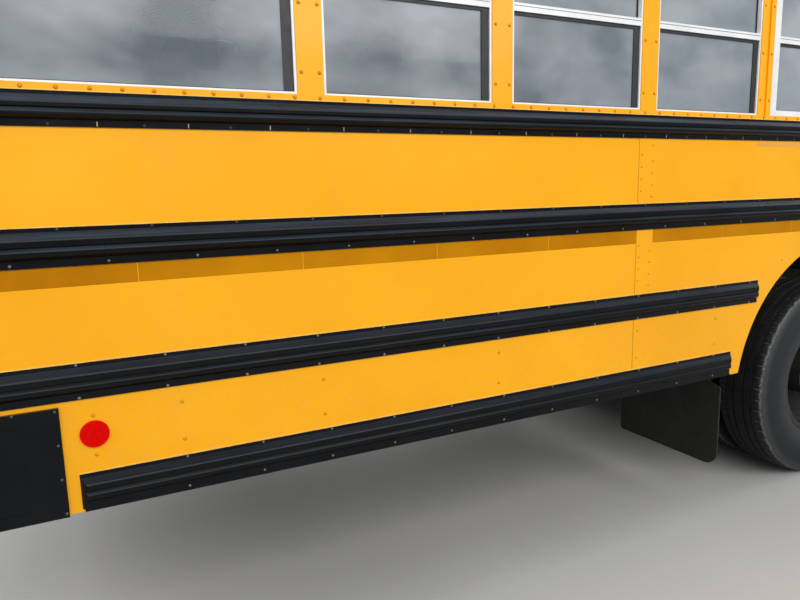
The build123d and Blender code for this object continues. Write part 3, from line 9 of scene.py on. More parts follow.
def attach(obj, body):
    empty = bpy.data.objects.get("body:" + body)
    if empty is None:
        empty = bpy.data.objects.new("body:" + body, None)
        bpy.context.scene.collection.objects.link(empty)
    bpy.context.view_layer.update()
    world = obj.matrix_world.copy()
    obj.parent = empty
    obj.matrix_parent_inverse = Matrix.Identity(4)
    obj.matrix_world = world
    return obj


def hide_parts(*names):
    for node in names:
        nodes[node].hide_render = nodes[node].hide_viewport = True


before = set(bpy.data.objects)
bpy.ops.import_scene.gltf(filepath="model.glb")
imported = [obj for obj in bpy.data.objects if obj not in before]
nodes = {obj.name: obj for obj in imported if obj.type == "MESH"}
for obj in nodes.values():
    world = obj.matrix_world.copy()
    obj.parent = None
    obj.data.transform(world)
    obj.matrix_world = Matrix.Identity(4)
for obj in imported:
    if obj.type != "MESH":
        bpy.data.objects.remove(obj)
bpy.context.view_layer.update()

# Places on the bus, in metres: +X forward, +Y to its left, +Z up
REAR_X = -5.975
REAR_AXLE_X = -1.945
ARCH_X = -2.015
FRONT_AXLE_X = 4.985
COWL_X = 4.285
HALF_WIDTH = 1.220
FLOOR_Z = 1.090
FIRST_POST_X = -4.801
PITCH = 0.711
POST_COUNT = 12
POST_WIDTH = 0.086
WINDOW_LOW_Z = 1.870
WINDOW_HIGH_Z = 2.538
SASH_BAR_Z = 2.187
SASH_BAR = 0.028
RAIL_Z = {
    "window": (1.759, 1.850),
    "seat": (1.391, 1.497),
    "floor": (1.017, 1.121),
    "skirt": (0.695, 0.799),
}
DOOR_REAR_X = 3.230
DOOR_FRONT_X = 4.050
ARCH_R = 0.734
ARCH_Z = 0.550
TYRE_R = 0.527
TWIN_Y = (0.705, 1.035)
STEER_Y = 1.020
INNER_Y = 1.170
EXIT_WINDOW = 4
EXIT_FRAME = 0.045
EXIT_SILL = 0.024
LOWER_GLASS_IN = 0.014
UPPER_GLASS_IN = 0.026
SIDES = {"right": -1, "left": 1}

# Camera, fitted to the photograph
CAMERA_X = FIRST_POST_X - 0.7083
CAMERA_Y = -HALF_WIDTH - 1.9956
CAMERA_Z = 1.570
CAMERA_RIGHT = Vector((0.89296, -0.44953, -0.02327))
CAMERA_UP = Vector((0.09341, 0.13450, 0.98650))
CAMERA_FORWARD = Vector((0.44033, 0.88308, -0.16209))
SENSOR_MM = 36.0
PHOTO_WIDTH = 800
FOCAL_PX = 660.2


def linked(name, data):
    """New object of the scene that holds a mesh, a lamp or a camera."""
    obj = bpy.data.objects.new(name, data)
    bpy.context.scene.collection.objects.link(obj)
    return obj


def make_camera():
    data = bpy.data.cameras.new("camera")
    data.sensor_width = SENSOR_MM
    data.sensor_fit = "HORIZONTAL"
    data.lens = SENSOR_MM * FOCAL_PX / PHOTO_WIDTH
    data.clip_start = 0.05
    data.clip_end = 200
    camera = linked("camera", data)
    rotation = Matrix((CAMERA_RIGHT, CAMERA_UP, -CAMERA_FORWARD)).transposed()
    camera.matrix_world = Matrix.Translation((CAMERA_X, CAMERA_Y, CAMERA_Z)) @ rotation.to_4x4()
    bpy.context.scene.camera = camera


make_camera()


# Node trees

NOISE_MIDDLE = (0.3, 0.7)


class Tree:
    """Node tree of a material or of the world. Each call adds a node and returns its output."""

    def __init__(self, owner):
        owner.use_nodes = True
        self.nodes = owner.node_tree.nodes
        self.links = owner.node_tree.links

    def feed(self, socket, value):
        """Gives a socket a value, or links another node's output to it."""
        if isinstance(value, bpy.types.NodeSocket):
            self.links.new(value, socket)
        else:
            socket.default_value = value

    def add(self, kind, output, inputs, **settings):
        node = self.nodes.new(f"ShaderNode{kind}")
        for key, value in settings.items():
            setattr(node, key, value)
        for key, value in inputs.items():
            self.feed(node.inputs[key], value)
        return node.outputs[output]

    def coordinate(self, kind="Object"):
        return self.add("TexCoord", kind, {})

    def z_of(self, vector):
        return self.add("SeparateXYZ", 2, {0: vector})

    def scaled(self, vector, scale):
        return self.add("Mapping", "Vector", {"Vector": vector, "Scale": scale})

    def noise(self, vector, scale, detail=4.0, rough=0.55, distortion=0.0):
        inputs = {"Vector": vector, "Scale": scale, "Detail": detail, "Roughness": rough}
        return self.add("TexNoise", "Fac", {**inputs, "Distortion": distortion})

    def ramp(self, value, low, high, start=0.0, end=1.0):
        """Maps value from low..high to start..end, clamped."""
        inputs = {"Value": value, "From Min": low, "From Max": high, "To Min": start, "To Max": end}
        return self.add("MapRange", "Result", inputs)

    def spread(self, noise, start=0.0, end=1.0):
        """Maps the middle of a noise to start..end."""
        return self.ramp(noise, *NOISE_MIDDLE, start, end)

    def math(self, operation, *values):
        return self.add("Math", 0, dict(enumerate(values)), operation=operation)

    def vector(self, operation, output, *values):
        return self.add("VectorMath", output, dict(enumerate(values)), operation=operation)

    def mix(self, factor, a, b):
        """Mixes two colours, or the outputs of two nodes."""
        a, b = ((*value, 1.0) if isinstance(value, tuple) else value for value in (a, b))
        return self.add("Mix", 2, {"Factor": factor, 6: a, 7: b}, data_type="RGBA")

    def bump(self, height, distance, strength=1.0, normal=None):
        inputs = {"Height": height, "Distance": distance, "Strength": strength}
        if normal is not None:
            inputs["Normal"] = normal
        return self.add("Bump", "Normal", inputs)


class Finish(Tree):
    """Material with a layered shader."""

    def __init__(self, name, metallic=0.0, coat=0.0, coat_rough=0.1, specular=0.5):
        self.material = bpy.data.materials.new(name)
        super().__init__(self.material)
        self.shader = self.nodes["Principled BSDF"].inputs
        self.shader["Metallic"].default_value = metallic
        self.shader["Coat Weight"].default_value = coat
        self.shader["Coat Roughness"].default_value = coat_rough
        self.shader["Specular IOR Level"].default_value = specular

    def connect(self, color, rough, normal=None):
        self.feed(self.shader["Base Color"], color)
        self.feed(self.shader["Roughness"], rough)
        if normal is not None:
            self.feed(self.shader["Normal"], normal)
        return self.material


# Finishes

DUST_FADE = 0.9


def surface(name, dark, light, scale, rough, grain, metallic=0.0, dust=None, coat=0.0, specular=0.5):
    """General finish: two-tone cloudiness, uneven roughness and fine grain, with dust where it is given.

    grain is (scale, depth), and dust is (colour, the height it fades out at, the most it covers).
    """
    look = Finish(name, metallic=metallic, coat=coat, specular=specular)
    place = look.coordinate()
    color = look.mix(look.spread(look.noise(place, scale, 5.0, 0.6)), dark, light)
    patch = look.noise(place, scale * 3.1, 3.0, 0.5)
    if dust is not None:
        dust_color, fade_z, most = dust
        low = look.ramp(look.z_of(place), fade_z, fade_z - DUST_FADE)
        speck = look.ramp(look.noise(place, 55.0, 6.0, 0.7), 0.42, 0.66, 0.25, 1.0)
        amount = look.math("MULTIPLY", look.math("MULTIPLY", low, speck), most)
        color = look.mix(amount, color, dust_color)
    normal = look.bump(look.noise(place, grain[0], 3.0, 0.6), grain[1])
    return look.connect(color, look.spread(patch, *rough), normal)


MIDDLE_OF_CABIN = (0.0, 0.0, 1.9)
LINING = (0.36, 0.37, 0.37)


def inside_mask(look, weights):
    """1 on faces that look into the cabin, 0 on the others. weights picks the directions that count."""
    offset = look.vector("SUBTRACT", "Vector", look.coordinate(), MIDDLE_OF_CABIN)
    weighted = look.vector("MULTIPLY", "Vector", offset, weights)
    dot = look.vector("DOT_PRODUCT", "Value", look.coordinate("Normal"), weighted)
    return look.math("LESS_THAN", dot, -0.1)


def make_yellow(name, inside=None):
    """School-bus yellow enamel: a slight orange peel, soft clouding and thin dust towards the skirt.

    inside gives the weights of inside_mask, for a wall whose inner face has a grey lining.
    """
    look = Finish(name, coat=0.16, specular=0.24)
    place = look.coordinate()
    cloud = look.spread(look.noise(place, 1.7, 4.0, 0.55))
    color = look.mix(cloud, (0.885, 0.376, 0.0008), (0.965, 0.430, 0.003))
    streak = look.noise(look.scaled(place, (7.0, 7.0, 0.6)), 1.0, 5.0, 0.6)
    color = look.mix(look.ramp(streak, 0.52, 0.78, 0.0, 0.14), color, (0.82, 0.40, 0.06))
    speck = look.ramp(look.noise(place, 70.0, 6.0, 0.75), 0.5, 0.68)
    low = look.ramp(look.z_of(place), 1.25, 0.55, 0.04, 0.30)
    color = look.mix(look.math("MULTIPLY", speck, low), color, (0.55, 0.36, 0.14))
    if inside is not None:
        color = look.mix(inside_mask(look, inside), color, LINING)
    roughness = look.spread(look.noise(place, 6.0, 3.0, 0.5), 0.30, 0.42)
    wave = look.bump(look.noise(place, 2.6, 2.0, 0.4), 0.0022, 0.6)
    peel = look.bump(look.noise(place, 260.0, 2.0, 0.5), 0.00012, 0.5, wave)
    return look.connect(color, roughness, peel)


def make_black_enamel(name):
    """Black enamel, near black on its upright faces, with a painted bluish sky reflection on faces that
    look up, stronger higher on the bus, and a painted brownish ground reflection on faces that look down.
    """
    look = Finish(name, specular=0.12)
    place = look.coordinate()
    facing = look.z_of(look.coordinate("Normal"))
    cloud = look.spread(look.noise(place, 5.0, 5.0, 0.6))
    color = look.mix(cloud, (0.0030, 0.0036, 0.0046), (0.0060, 0.0068, 0.0082))
    # Painted highlight: a rippled bluish sky reflection on faces that look up, stronger higher on the bus.
    ripple = look.noise(look.scaled(place, (2.2, 1.0, 60.0)), 1.0, 4.0, 0.6)
    painted_sky_sheen = look.math("MULTIPLY", look.ramp(facing, 0.12, 0.5), look.ramp(ripple, 0.35, 0.65, 0.3, 1.0))
    painted_sky_sheen = look.math("MULTIPLY", painted_sky_sheen, look.ramp(look.z_of(place), 1.05, 1.75, 0.30, 1.0))
    color = look.mix(painted_sky_sheen, color, (0.034, 0.045, 0.061))
    # Painted reflection: faces that look down take a brownish tint of the ground.
    color = look.mix(look.ramp(facing, -0.15, -0.6, 0.0, 0.4), color, (0.012, 0.008, 0.003))
    roughness = look.spread(look.noise(place, 16.0, 3.0, 0.5), 0.18, 0.28)
    return look.connect(color, roughness, look.bump(look.noise(place, 180.0, 3.0, 0.6), 0.00012))


def make_lens(name, dark, light, cell, coat=0.8, specular=0.6):
    """Moulded lens: fine prisms under a glossy face."""
    look = Finish(name, coat=coat, coat_rough=0.05, specular=specular)
    place = look.coordinate()
    prisms = look.add("TexVoronoi", "Distance", {"Vector": place, "Scale": cell})
    color = look.mix(look.ramp(prisms, 0.0, 0.7), light, dark)
    roughness = look.spread(look.noise(place, 30.0), 0.12, 0.24)
    return look.connect(color, roughness, look.bump(prisms, 0.0006, 0.5))


def make_glass(name):
    """Tinted safety glass that mirrors its surroundings and lets the inside show faintly. Its colour is a
    painted reflection of a cloudy sky, paler where the glass is seen at a slant.
    """
    look = Finish(name)
    look.shader["IOR"].default_value = 1.45
    look.shader["Alpha"].default_value = 0.60
    place = look.coordinate()
    # Painted reflection: cloudy sky colours in the glass, paler where it is seen at a slant.
    painted_sky_clouds = look.noise(look.scaled(place, (1.0, 1.0, 1.6)), 2.4, 3.5, 0.50, 0.15)
    cloud = look.ramp(painted_sky_clouds, 0.34, 0.64)
    painted_reflection_steep = look.mix(cloud, (0.155, 0.180, 0.205), (0.42, 0.45, 0.48))
    painted_reflection_grazing = look.mix(cloud, (0.30, 0.345, 0.385), (0.50, 0.535, 0.565))
    slant = look.add("LayerWeight", "Facing", {"Blend": 0.5})
    color = look.mix(look.ramp(slant, 0.12, 0.48), painted_reflection_steep, painted_reflection_grazing)
    return look.connect(color, look.spread(look.noise(place, 4.0, 3.0, 0.5), 0.04, 0.10))


SCUFF_RING = (0.5125, 0.5165)
SPECK_RING = (0.474, 0.512)
# Radii of dark lines of painted shade in the creases near the rim.
RIM_CREASE_SHADE = (0.3060, 0.3168)


def make_tyre_rubber(name, axle_x):
    """Worn tyre: black tread, bluish smooth side, painted shade in the creases near the rim, and a dusty
    scuffed ring on the shoulder.
    """
    look = Finish(name, specular=0.3)
    place = look.coordinate()
    offset = look.vector("SUBTRACT", "Vector", place, (axle_x, 0.0, TYRE_R))
    radius = look.vector("LENGTH", "Value", look.vector("MULTIPLY", "Vector", offset, (1.0, 0.0, 1.0)))
    rough_edge = look.math("MULTIPLY", look.noise(place, 34.0, 6.0, 0.75), 0.018)
    uneven = look.math("ADD", radius, look.math("SUBTRACT", rough_edge, 0.009))
    low, high = SCUFF_RING
    ring_out = look.ramp(uneven, high, high + 0.002, 1.0, 0.0)
    ring = look.math("MULTIPLY", look.ramp(uneven, low - 0.003, low), ring_out)
    speck_ring = look.math("MULTIPLY", look.ramp(uneven, *SPECK_RING, 0.0, 0.7), ring_out)
    cloud = look.noise(place, 14.0, 6.0, 0.7)
    side = look.mix(look.spread(cloud), (0.0080, 0.0091, 0.0112), (0.0160, 0.0180, 0.0212))
    side = look.mix(look.ramp(radius, 0.410, 0.335, 0.0, 0.8), side, (0.033, 0.036, 0.040))
    # Painted shade: dark lines in the creases of the ridges near the rim.
    for line in RIM_CREASE_SHADE:
        away = look.math("ABSOLUTE", look.math("SUBTRACT", radius, line))
        side = look.mix(look.ramp(away, 0.0016, 0.0008), side, (0.004, 0.004, 0.005))
    tread = look.mix(look.spread(cloud), (0.0065, 0.0070, 0.0070), (0.0165, 0.0165, 0.0160))
    color = look.mix(look.ramp(radius, high - 0.01, high + 0.004), side, tread)
    grit = look.noise(place, 95.0, 8.0, 0.85, 0.6)
    specks = look.math("MULTIPLY", speck_ring, look.ramp(grit, 0.40, 0.62, 0.20, 0.9))
    color = look.mix(specks, color, (0.110, 0.120, 0.108))
    scuff = look.math("MULTIPLY", ring, look.ramp(grit, 0.40, 0.62, 0.05, 0.85))
    color = look.mix(scuff, color, (0.185, 0.190, 0.172))
    mark = look.ramp(look.noise(place, 45.0, 8.0, 0.85, 1.2), 0.66, 0.76, 0.0, 0.3)
    color = look.mix(mark, color, (0.060, 0.060, 0.056))
    grain = look.noise(place, 150.0, 5.0, 0.8)
    return look.connect(color, look.spread(cloud, 0.48, 0.75), look.bump(grain, 0.0009))


DUST = (0.36, 0.32, 0.26)
SURFACES = (
    # name, darker and lighter colour, cloud scale, roughness, grain, and other values of surface()
    ("bumper_black", (0.0034, 0.0036, 0.0034), (0.0066, 0.0068, 0.0064), 4.0, (0.34, 0.5), (150.0, 0.00020),
     {"dust": ((0.10, 0.10, 0.09), 1.1, 0.03), "specular": 0.1}),
    ("chassis_black", (0.010, 0.010, 0.010), (0.024, 0.023, 0.021), 6.0, (0.5, 0.75), (90.0, 0.0004),
     {"dust": (DUST, 1.2, 0.22), "specular": 0.3}),
    ("axle_iron", (0.020, 0.018, 0.016), (0.050, 0.043, 0.036), 9.0, (0.55, 0.8), (120.0, 0.0006),
     {"metallic": 0.3, "dust": (DUST, 1.2, 0.3)}),
    ("white_frame", (0.72, 0.72, 0.71), (0.86, 0.86, 0.85), 9.0, (0.25, 0.42), (240.0, 0.0001),
     {"coat": 0.15}),
    ("mud_flap_rubber", (0.008, 0.008, 0.0075), (0.016, 0.016, 0.014), 7.0, (0.5, 0.7), (160.0, 0.0005),
     {"dust": ((0.16, 0.15, 0.12), 0.9, 0.10), "specular": 0.3}),
    ("seal_rubber", (0.008, 0.008, 0.009), (0.020, 0.020, 0.021), 12.0, (0.45, 0.6), (200.0, 0.0002), {}),
    ("wheel_black", (0.007, 0.007, 0.007), (0.018, 0.017, 0.016), 12.0, (0.36, 0.6), (160.0, 0.0003),
     {"dust": ((0.2, 0.18, 0.15), 1.0, 0.2), "specular": 0.35}),
    ("grey_lining", (0.32, 0.33, 0.33), (0.40, 0.41, 0.41), 6.0, (0.4, 0.55), (200.0, 0.0002), {}),
    ("reflective_tape", (0.44, 0.160, 0.0003), (0.56, 0.225, 0.0006), 3.0, (0.4, 0.55), (330.0, 0.0003),
     {"specular": 0.06}),
    ("trim_strip", (0.76, 0.345, 0.060), (0.86, 0.400, 0.085), 3.0, (0.34, 0.46), (330.0, 0.0002),
     {"specular": 0.15}),
    # Pale strip on each rail's top edge: a painted highlight.
    ("rail_sealant", (0.66, 0.38, 0.06), (0.88, 0.58, 0.20), 24.0, (0.35, 0.5), (260.0, 0.0002), {}),
    ("seam_shadow", (0.20, 0.085, 0.004), (0.30, 0.12, 0.008), 30.0, (0.5, 0.7), (200.0, 0.0002), {}),
    # Rivet heads, large and small: the yellow enamel darkened with painted shade.
    ("rivet_enamel", (0.50, 0.200, 0.004), (0.70, 0.290, 0.006), 60.0, (0.32, 0.5), (300.0, 0.0002),
     {"specular": 0.2}),
    ("small_rivet_enamel", (0.64, 0.262, 0.003), (0.82, 0.345, 0.004), 60.0, (0.32, 0.5), (300.0, 0.0002),
     {"specular": 0.2}),
    ("dull_screw", (0.09, 0.09, 0.085), (0.20, 0.20, 0.19), 60.0, (0.35, 0.55), (300.0, 0.0002),
     {"metallic": 0.3}),
    ("zinc_screw", (0.20, 0.17, 0.10), (0.46, 0.38, 0.22), 60.0, (0.3, 0.5), (300.0, 0.0002),
     {"metallic": 0.4}),
    ("worn_zinc", (0.085, 0.080, 0.066), (0.24, 0.22, 0.17), 60.0, (0.35, 0.55), (300.0, 0.0002),
     {"metallic": 0.4}),
    ("worn_screw", (0.030, 0.029, 0.027), (0.085, 0.080, 0.072), 60.0, (0.4, 0.6), (300.0, 0.0002),
     {"metallic": 0.3}),
    ("black_screw", (0.006, 0.006, 0.006), (0.02, 0.02, 0.02), 60.0, (0.3, 0.5), (300.0, 0.0002), {}),
    ("floor_cover", (0.012, 0.012, 0.012), (0.026, 0.026, 0.026), 6.0, (0.5, 0.7), (130.0, 0.0004), {}),
    ("seat_vinyl", (0.135, 0.150, 0.165), (0.185, 0.200, 0.215), 7.0, (0.42, 0.58), (420.0, 0.00035), {}),
    ("seat_welt", (0.060, 0.066, 0.074), (0.100, 0.108, 0.118), 30.0, (0.4, 0.55), (420.0, 0.0002), {}),
    ("wheel_nut", (0.030, 0.027, 0.024), (0.090, 0.080, 0.068), 50.0, (0.4, 0.65), (200.0, 0.0003),
     {"metallic": 0.6}),
    ("mirror_glass", (0.66, 0.68, 0.70), (0.74, 0.76, 0.78), 3.0, (0.02, 0.05), (60.0, 0.00001),
     {"metallic": 1.0}),
    ("seat_steel", (0.020, 0.020, 0.020), (0.040, 0.040, 0.040), 8.0, (0.4, 0.55), (200.0, 0.0002), {}),
    ("dash_plastic", (0.018, 0.018, 0.020), (0.034, 0.034, 0.036), 8.0, (0.5, 0.65), (500.0, 0.0003), {}),
    ("exhaust_steel", (0.16, 0.14, 0.12), (0.34, 0.31, 0.28), 11.0, (0.4, 0.65), (140.0, 0.0003),
     {"metallic": 0.8, "dust": (DUST, 1.1, 0.3)}),
    ("sign_red", (0.42, 0.006, 0.006), (0.56, 0.012, 0.010), 6.0, (0.3, 0.45), (600.0, 0.0001), {}),
    ("hatch_white", (0.66, 0.66, 0.64), (0.80, 0.80, 0.78), 4.0, (0.35, 0.5), (220.0, 0.0002), {}),
    ("dusty_rubber", (0.060, 0.062, 0.057), (0.200, 0.205, 0.185), 60.0, (0.6, 0.85), (200.0, 0.0004),
     {"specular": 0.2}),
)
FINISHES = {name: surface(name, *values, **other) for name, *values, other in SURFACES}
SPECIAL_FINISHES = (
    # function, name, and what the function is given
    (make_yellow, "yellow_enamel"),
    (make_yellow, "yellow_side_wall", (0, 1, 1)),
    (make_yellow, "yellow_end_wall", (1, 1, 1)),
    (make_black_enamel, "black_enamel"),
    (make_lens, "red_lens", (0.62, 0.0008, 0.0004), (0.76, 0.0020, 0.0008), 160.0, 0.0, 0.06),
    (make_lens, "amber_lens", (0.75, 0.20, 0.004), (0.95, 0.36, 0.01), 160.0),
    (make_lens, "clear_lens", (0.55, 0.57, 0.60), (0.85, 0.87, 0.90), 90.0),
    (make_glass, "window_glass"),
    (make_tyre_rubber, "tyre_rubber_rear", REAR_AXLE_X),
    (make_tyre_rubber, "tyre_rubber_front", FRONT_AXLE_X),
)
for make, name, *values in SPECIAL_FINISHES:
    FINISHES[name] = make(name, *values)

NODES_BY_FINISH = {
    "yellow_enamel": ("hood", "door_leaf_front", "door_leaf_rear"),
    "yellow_side_wall": ("side_wall_right", "side_wall_left"),
    "yellow_end_wall": ("roof", "rear_wall", "front_end", "emergency_door"),
    "black_enamel": ("rub_rails", "rear_bumper", "front_bumper", "body_hinges", "lamp_visors", "wipers"),
    "bumper_black": ("fuel_tank",),
    "chassis_black": ("chassis_frame", "leaf_springs"),
    "axle_iron": ("front_axle", "rear_axle", "drivetrain", "knuckle_right", "knuckle_left"),
    "white_frame": ("window_frames",),
    "mud_flap_rubber": ("mud_flaps",),
    "wheel_black": ("front_rim_right", "front_rim_left", "rear_rims_right", "rear_rims_left"),
    "floor_cover": ("floor",),
    "seat_vinyl": ("seat_cushions",),
    "seat_steel": ("seat_frames",),
    "dash_plastic": ("dashboard", "mirrors", "hood_mirrors", "grille"),
    "exhaust_steel": ("exhaust",),
    "sign_red": ("stop_arm",),
    "hatch_white": ("roof_hatch",),
    "red_lens": ("red_lamps",),
    "amber_lens": ("amber_lamps", "hood_turn_lamps"),
    "clear_lens": ("headlamps",),
    "window_glass": ("window_glass", "door_glass_front", "door_glass_rear", "emergency_glass"),
    "tyre_rubber_front": ("front_tyre_right", "front_tyre_left"),
    "tyre_rubber_rear": ("rear_tyres_right", "rear_tyres_left"),
}
for finish, names in NODES_BY_FINISH.items():
    for name in names:
        nodes[name].data.materials.clear()
        nodes[name].data.materials.append(FINISHES[finish])


# Mesh helpers

def dress(name, mesh, finish, body="bus_body"):
    """New object with a finish, which rides on a body."""
    mesh.materials.append(FINISHES[finish])
    obj = linked(name, mesh)
    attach(obj, body)
    return obj


def built(name, builder):
    """New mesh from a bmesh that builder fills."""
    bm = bmesh.new()
    builder(bm)
    bmesh.ops.recalc_face_normals(bm, faces=bm.faces)
    mesh = bpy.data.meshes.new(name)
    bm.to_mesh(mesh)
    bm.free()
    return mesh


def piece(name, builder, finish, body="bus_body", smooth=False):
    mesh = built(name, builder)
    if smooth:
        mesh.shade_smooth()
    return dress(name, mesh, finish, body)


def bridge(bm, low, high):
    """Joins two rings of as many points with a band of faces."""
    for i in range(len(low)):
        j = (i + 1) % len(low)
        bm.faces.new((low[i], low[j], high[j], high[i]))


def prism(bm, low, high):
    """Closed band between two rings of points, capped at both ends."""
    rings = [[bm.verts.new(point) for point in ring] for ring in (low, high)]
    bridge(bm, *rings)
    bm.faces.new(list(reversed(rings[0])))
    bm.faces.new(rings[1])


def add_box(bm, x, y, z):
    corners = [bm.verts.new((x[i], y[j], z[k])) for i in (0, 1) for j in (0, 1) for k in (0, 1)]
    for face in ((0, 1, 3, 2), (4, 6, 7, 5), (0, 4, 5, 1), (2, 3, 7, 6), (0, 2, 6, 4), (1, 5, 7, 3)):
        bm.faces.new([corners[i] for i in face])


def basis(normal):
    """Two unit vectors across a normal, and the normal at unit length."""
    n = Vector(normal).normalized()
    helper = Vector((0, 0, 1)) if abs(n.z) < 0.9 else Vector((1, 0, 0))
    u = helper.cross(n).normalized()
    return u, n.cross(u), n


def add_dome(bm, point, normal, r, height, segments=8, rings=2):
    """Low dome, such as a rivet or screw head, on a surface."""
    u, v, n = basis(normal)
    base = Vector(point)
    angles = [2 * math.pi * i / segments for i in range(segments)]
    levels = []
    for ring in range(rings):
        turn = ring / rings * math.pi / 2
        radius, lift = r * math.cos(turn), height * math.sin(turn)
        around = [(u * math.cos(a) + v * math.sin(a)) * radius for a in angles]
        levels.append([bm.verts.new(base + n * lift + offset) for offset in around])
    top = bm.verts.new(base + n * height)
    for low, high in zip(levels, levels[1:]):
        bridge(bm, low, high)
    for i in range(segments):
        bm.faces.new((levels[-1][i], levels[-1][(i + 1) % segments], top))
    bm.faces.new(list(reversed(levels[0])))


def domes(name, points, side, size, finish):
    """One piece of low domes that face to one side of the bus. size is (radius, height)."""
    def build(bm):
        for point in points:
            add_dome(bm, point, (0, side, 0), *size)
    return piece(name, build, finish, smooth=True)


def boxes(name, spans, finish):
    """One piece of separate boxes, each given as three (low, high) pairs."""
    def build(bm):
        for span in spans:
            add_box(bm, *span)
    return piece(name, build, finish)


def on_side(side, reach):
    """Y span on a side wall, from two distances outside its face."""
    return tuple(sorted(side * (HALF_WIDTH + value) for value in reach))


def local(x):
    """X of a place that is given from the bus's first window post."""
    return FIRST_POST_X + x


def every(pitch, start, stop):
    """Places from start up to stop, one pitch apart."""
    places = []
    while start < stop:
        places.append(start)
        start += pitch
    return places


def clear_of_arch(x, z, margin=0.02):
    return math.hypot(x - ARCH_X, z - ARCH_Z) > ARCH_R + margin


# Side walls: rivets, seams and reflective tape

WALL_REAR_X = REAR_X + 0.20
SIDE_FRONT_X = {"right": DOOR_REAR_X, "left": DOOR_FRONT_X}
POST_RIVET_Z = [1.935 + 0.1995 * i for i in range(4)]
POST_RIVET_OUT = 0.029
SILL_RIVET_Z = 1.860
HEADER_RIVET_Z = 2.556
SILL_RIVET_PITCH = 0.081
SILL_RIVET_END = 0.03
RIVET = (0.0065, 0.0030)
SEAM_FIRST = 1.380
SEAM_PITCH = 2.844
SEAM_FRONT_GAP = 0.2
SEAM_RIVETS = ((0.015, 0.064), (0.076, 0.088))
SEAM_TOP_RIVET = (0.076, 0.027)
SEAM_RIVET_PITCH = 0.0484
SEAM_RIVET_LOW = 0.018
SMALL_RIVET = (0.0060, 0.0028)
SEAM_ARCH_GAP = 0.15
SEAM_LINE = 0.0016
SEAM_LAP = 0.091
LINE_T = 0.0004
LAP_T = 0.0008
BAYS = [
    # lowest and highest z of the wall between two rails
    (RAIL_Z["skirt"][1], RAIL_Z["floor"][0]),
    (RAIL_Z["floor"][1], RAIL_Z["seat"][0]),
    (RAIL_Z["seat"][1], RAIL_Z["window"][0]),
]
SKIRT_RIVET_Z = (0.966, 0.849)
SKIRT_RIVET_REAR = (-0.692, -0.449, 0.0, 0.697, 1.402, 1.888)
SKIRT_RIVET_FRONT = 4.62
SKIRT_RIVET_END = 0.1
TAPE_Z = (1.335, 1.390)
TAPE_LENGTH = 0.488
TAPE_FIRST = -0.540
TAPE_JOINT = 0.002
TAPE_GAP = (1.377, 1.462)
TAPE_FRONT_GAP = 0.05
TAPE_T = 0.0004
TAPE_LEAST = 0.004
STRIP_FIRST = 2.100
STRIP_Z = (1.7325, 1.7530)
ARCH_SCREWS = ((2.335, 1.204),)
SKIRT_EDGE_Z = (0.6858, 0.6956)
SKIRT_EDGE_REACH = (-0.001, 0.0045)
SKIRT_EDGE_REAR = 0.006
LIP_RISE = 0.0024
LIP_REACH = 0.0022


def seam_places(side_name):
    return every(SEAM_PITCH, local(SEAM_FIRST), SIDE_FRONT_X[side_name] - SEAM_FRONT_GAP)


def make_side_rivets(side_name, side):
    face_y = side * HALF_WIDTH
    front = SIDE_FRONT_X[side_name]
    large = []
    for index in range(POST_COUNT):
        x = local(index * PITCH)
        for out in (-POST_RIVET_OUT, POST_RIVET_OUT):
            large.extend((x + out, face_y, z) for z in POST_RIVET_Z)
    for x in every(SILL_RIVET_PITCH, WALL_REAR_X + SILL_RIVET_END, front - SILL_RIVET_END):
        large.extend((x, face_y, z) for z in (SILL_RIVET_Z, HEADER_RIVET_Z))
    domes(f"post_rivets_{side_name}", large, side, RIVET, "rivet_enamel")
    small = []
    for seam in seam_places(side_name):
        for low, high in BAYS[1:]:
            for out, drop in SEAM_RIVETS:
                z = high - drop
                while z > low + SEAM_RIVET_LOW:
                    if clear_of_arch(seam + out, z):
                        small.append((seam + out, face_y, z))
                    z -= SEAM_RIVET_PITCH
        small.append((seam + SEAM_TOP_RIVET[0], face_y, BAYS[-1][1] - SEAM_TOP_RIVET[1]))
    skirt = [local(out) for out in SKIRT_RIVET_REAR]
    skirt += every(PITCH, local(SKIRT_RIVET_FRONT), front - SKIRT_RIVET_END)
    small.extend((x, face_y, z) for x in skirt for z in SKIRT_RIVET_Z)
    small.extend((local(out), face_y, z) for out, z in ARCH_SCREWS)
    domes(f"panel_rivets_{side_name}", small, side, SMALL_RIVET, "small_rivet_enamel")


def make_seams(side_name, side):
    """Edge of each lapped side sheet, as a fine shadow line, with the lap standing a little proud."""
    lines = []
    laps = []
    for seam in seam_places(side_name):
        for low, high in BAYS:
            if clear_of_arch(seam, low, SEAM_ARCH_GAP):
                lines.append(((seam - SEAM_LINE, seam), on_side(side, (0, LINE_T)), (low, high)))
                laps.append(((seam, seam + SEAM_LAP), on_side(side, (0, LAP_T)), (low, high)))
    boxes(f"seam_lines_{side_name}", lines, "seam_shadow")
    boxes(f"seam_laps_{side_name}", laps, "yellow_enamel")


def make_lips(side_name, side):
    """Pale strip along the top of each rail: a painted highlight."""
    spans = []
    for level, ends, *_ in RAILS:
        top = RAIL_Z[level][1]
        spans.extend((x, on_side(side, (0, LIP_REACH)), (top, top + LIP_RISE))
                     for x in rail_spans(level, ends, side_name))
    boxes(f"rail_sealant_{side_name}", spans, "rail_sealant")


def make_skirt_edge(side_name, side):
    """Black edge of the skirt, under the lowest rail."""
    reach = on_side(side, SKIRT_EDGE_REACH)
    spans = []
    for low, high in rail_spans("skirt", RAILS[-1][1], side_name):
        start = low + SKIRT_EDGE_REAR if low < ARCH_X else low
        spans.append(((start, high), reach, SKIRT_EDGE_Z))
    boxes(f"skirt_edge_{side_name}", spans, "black_enamel")


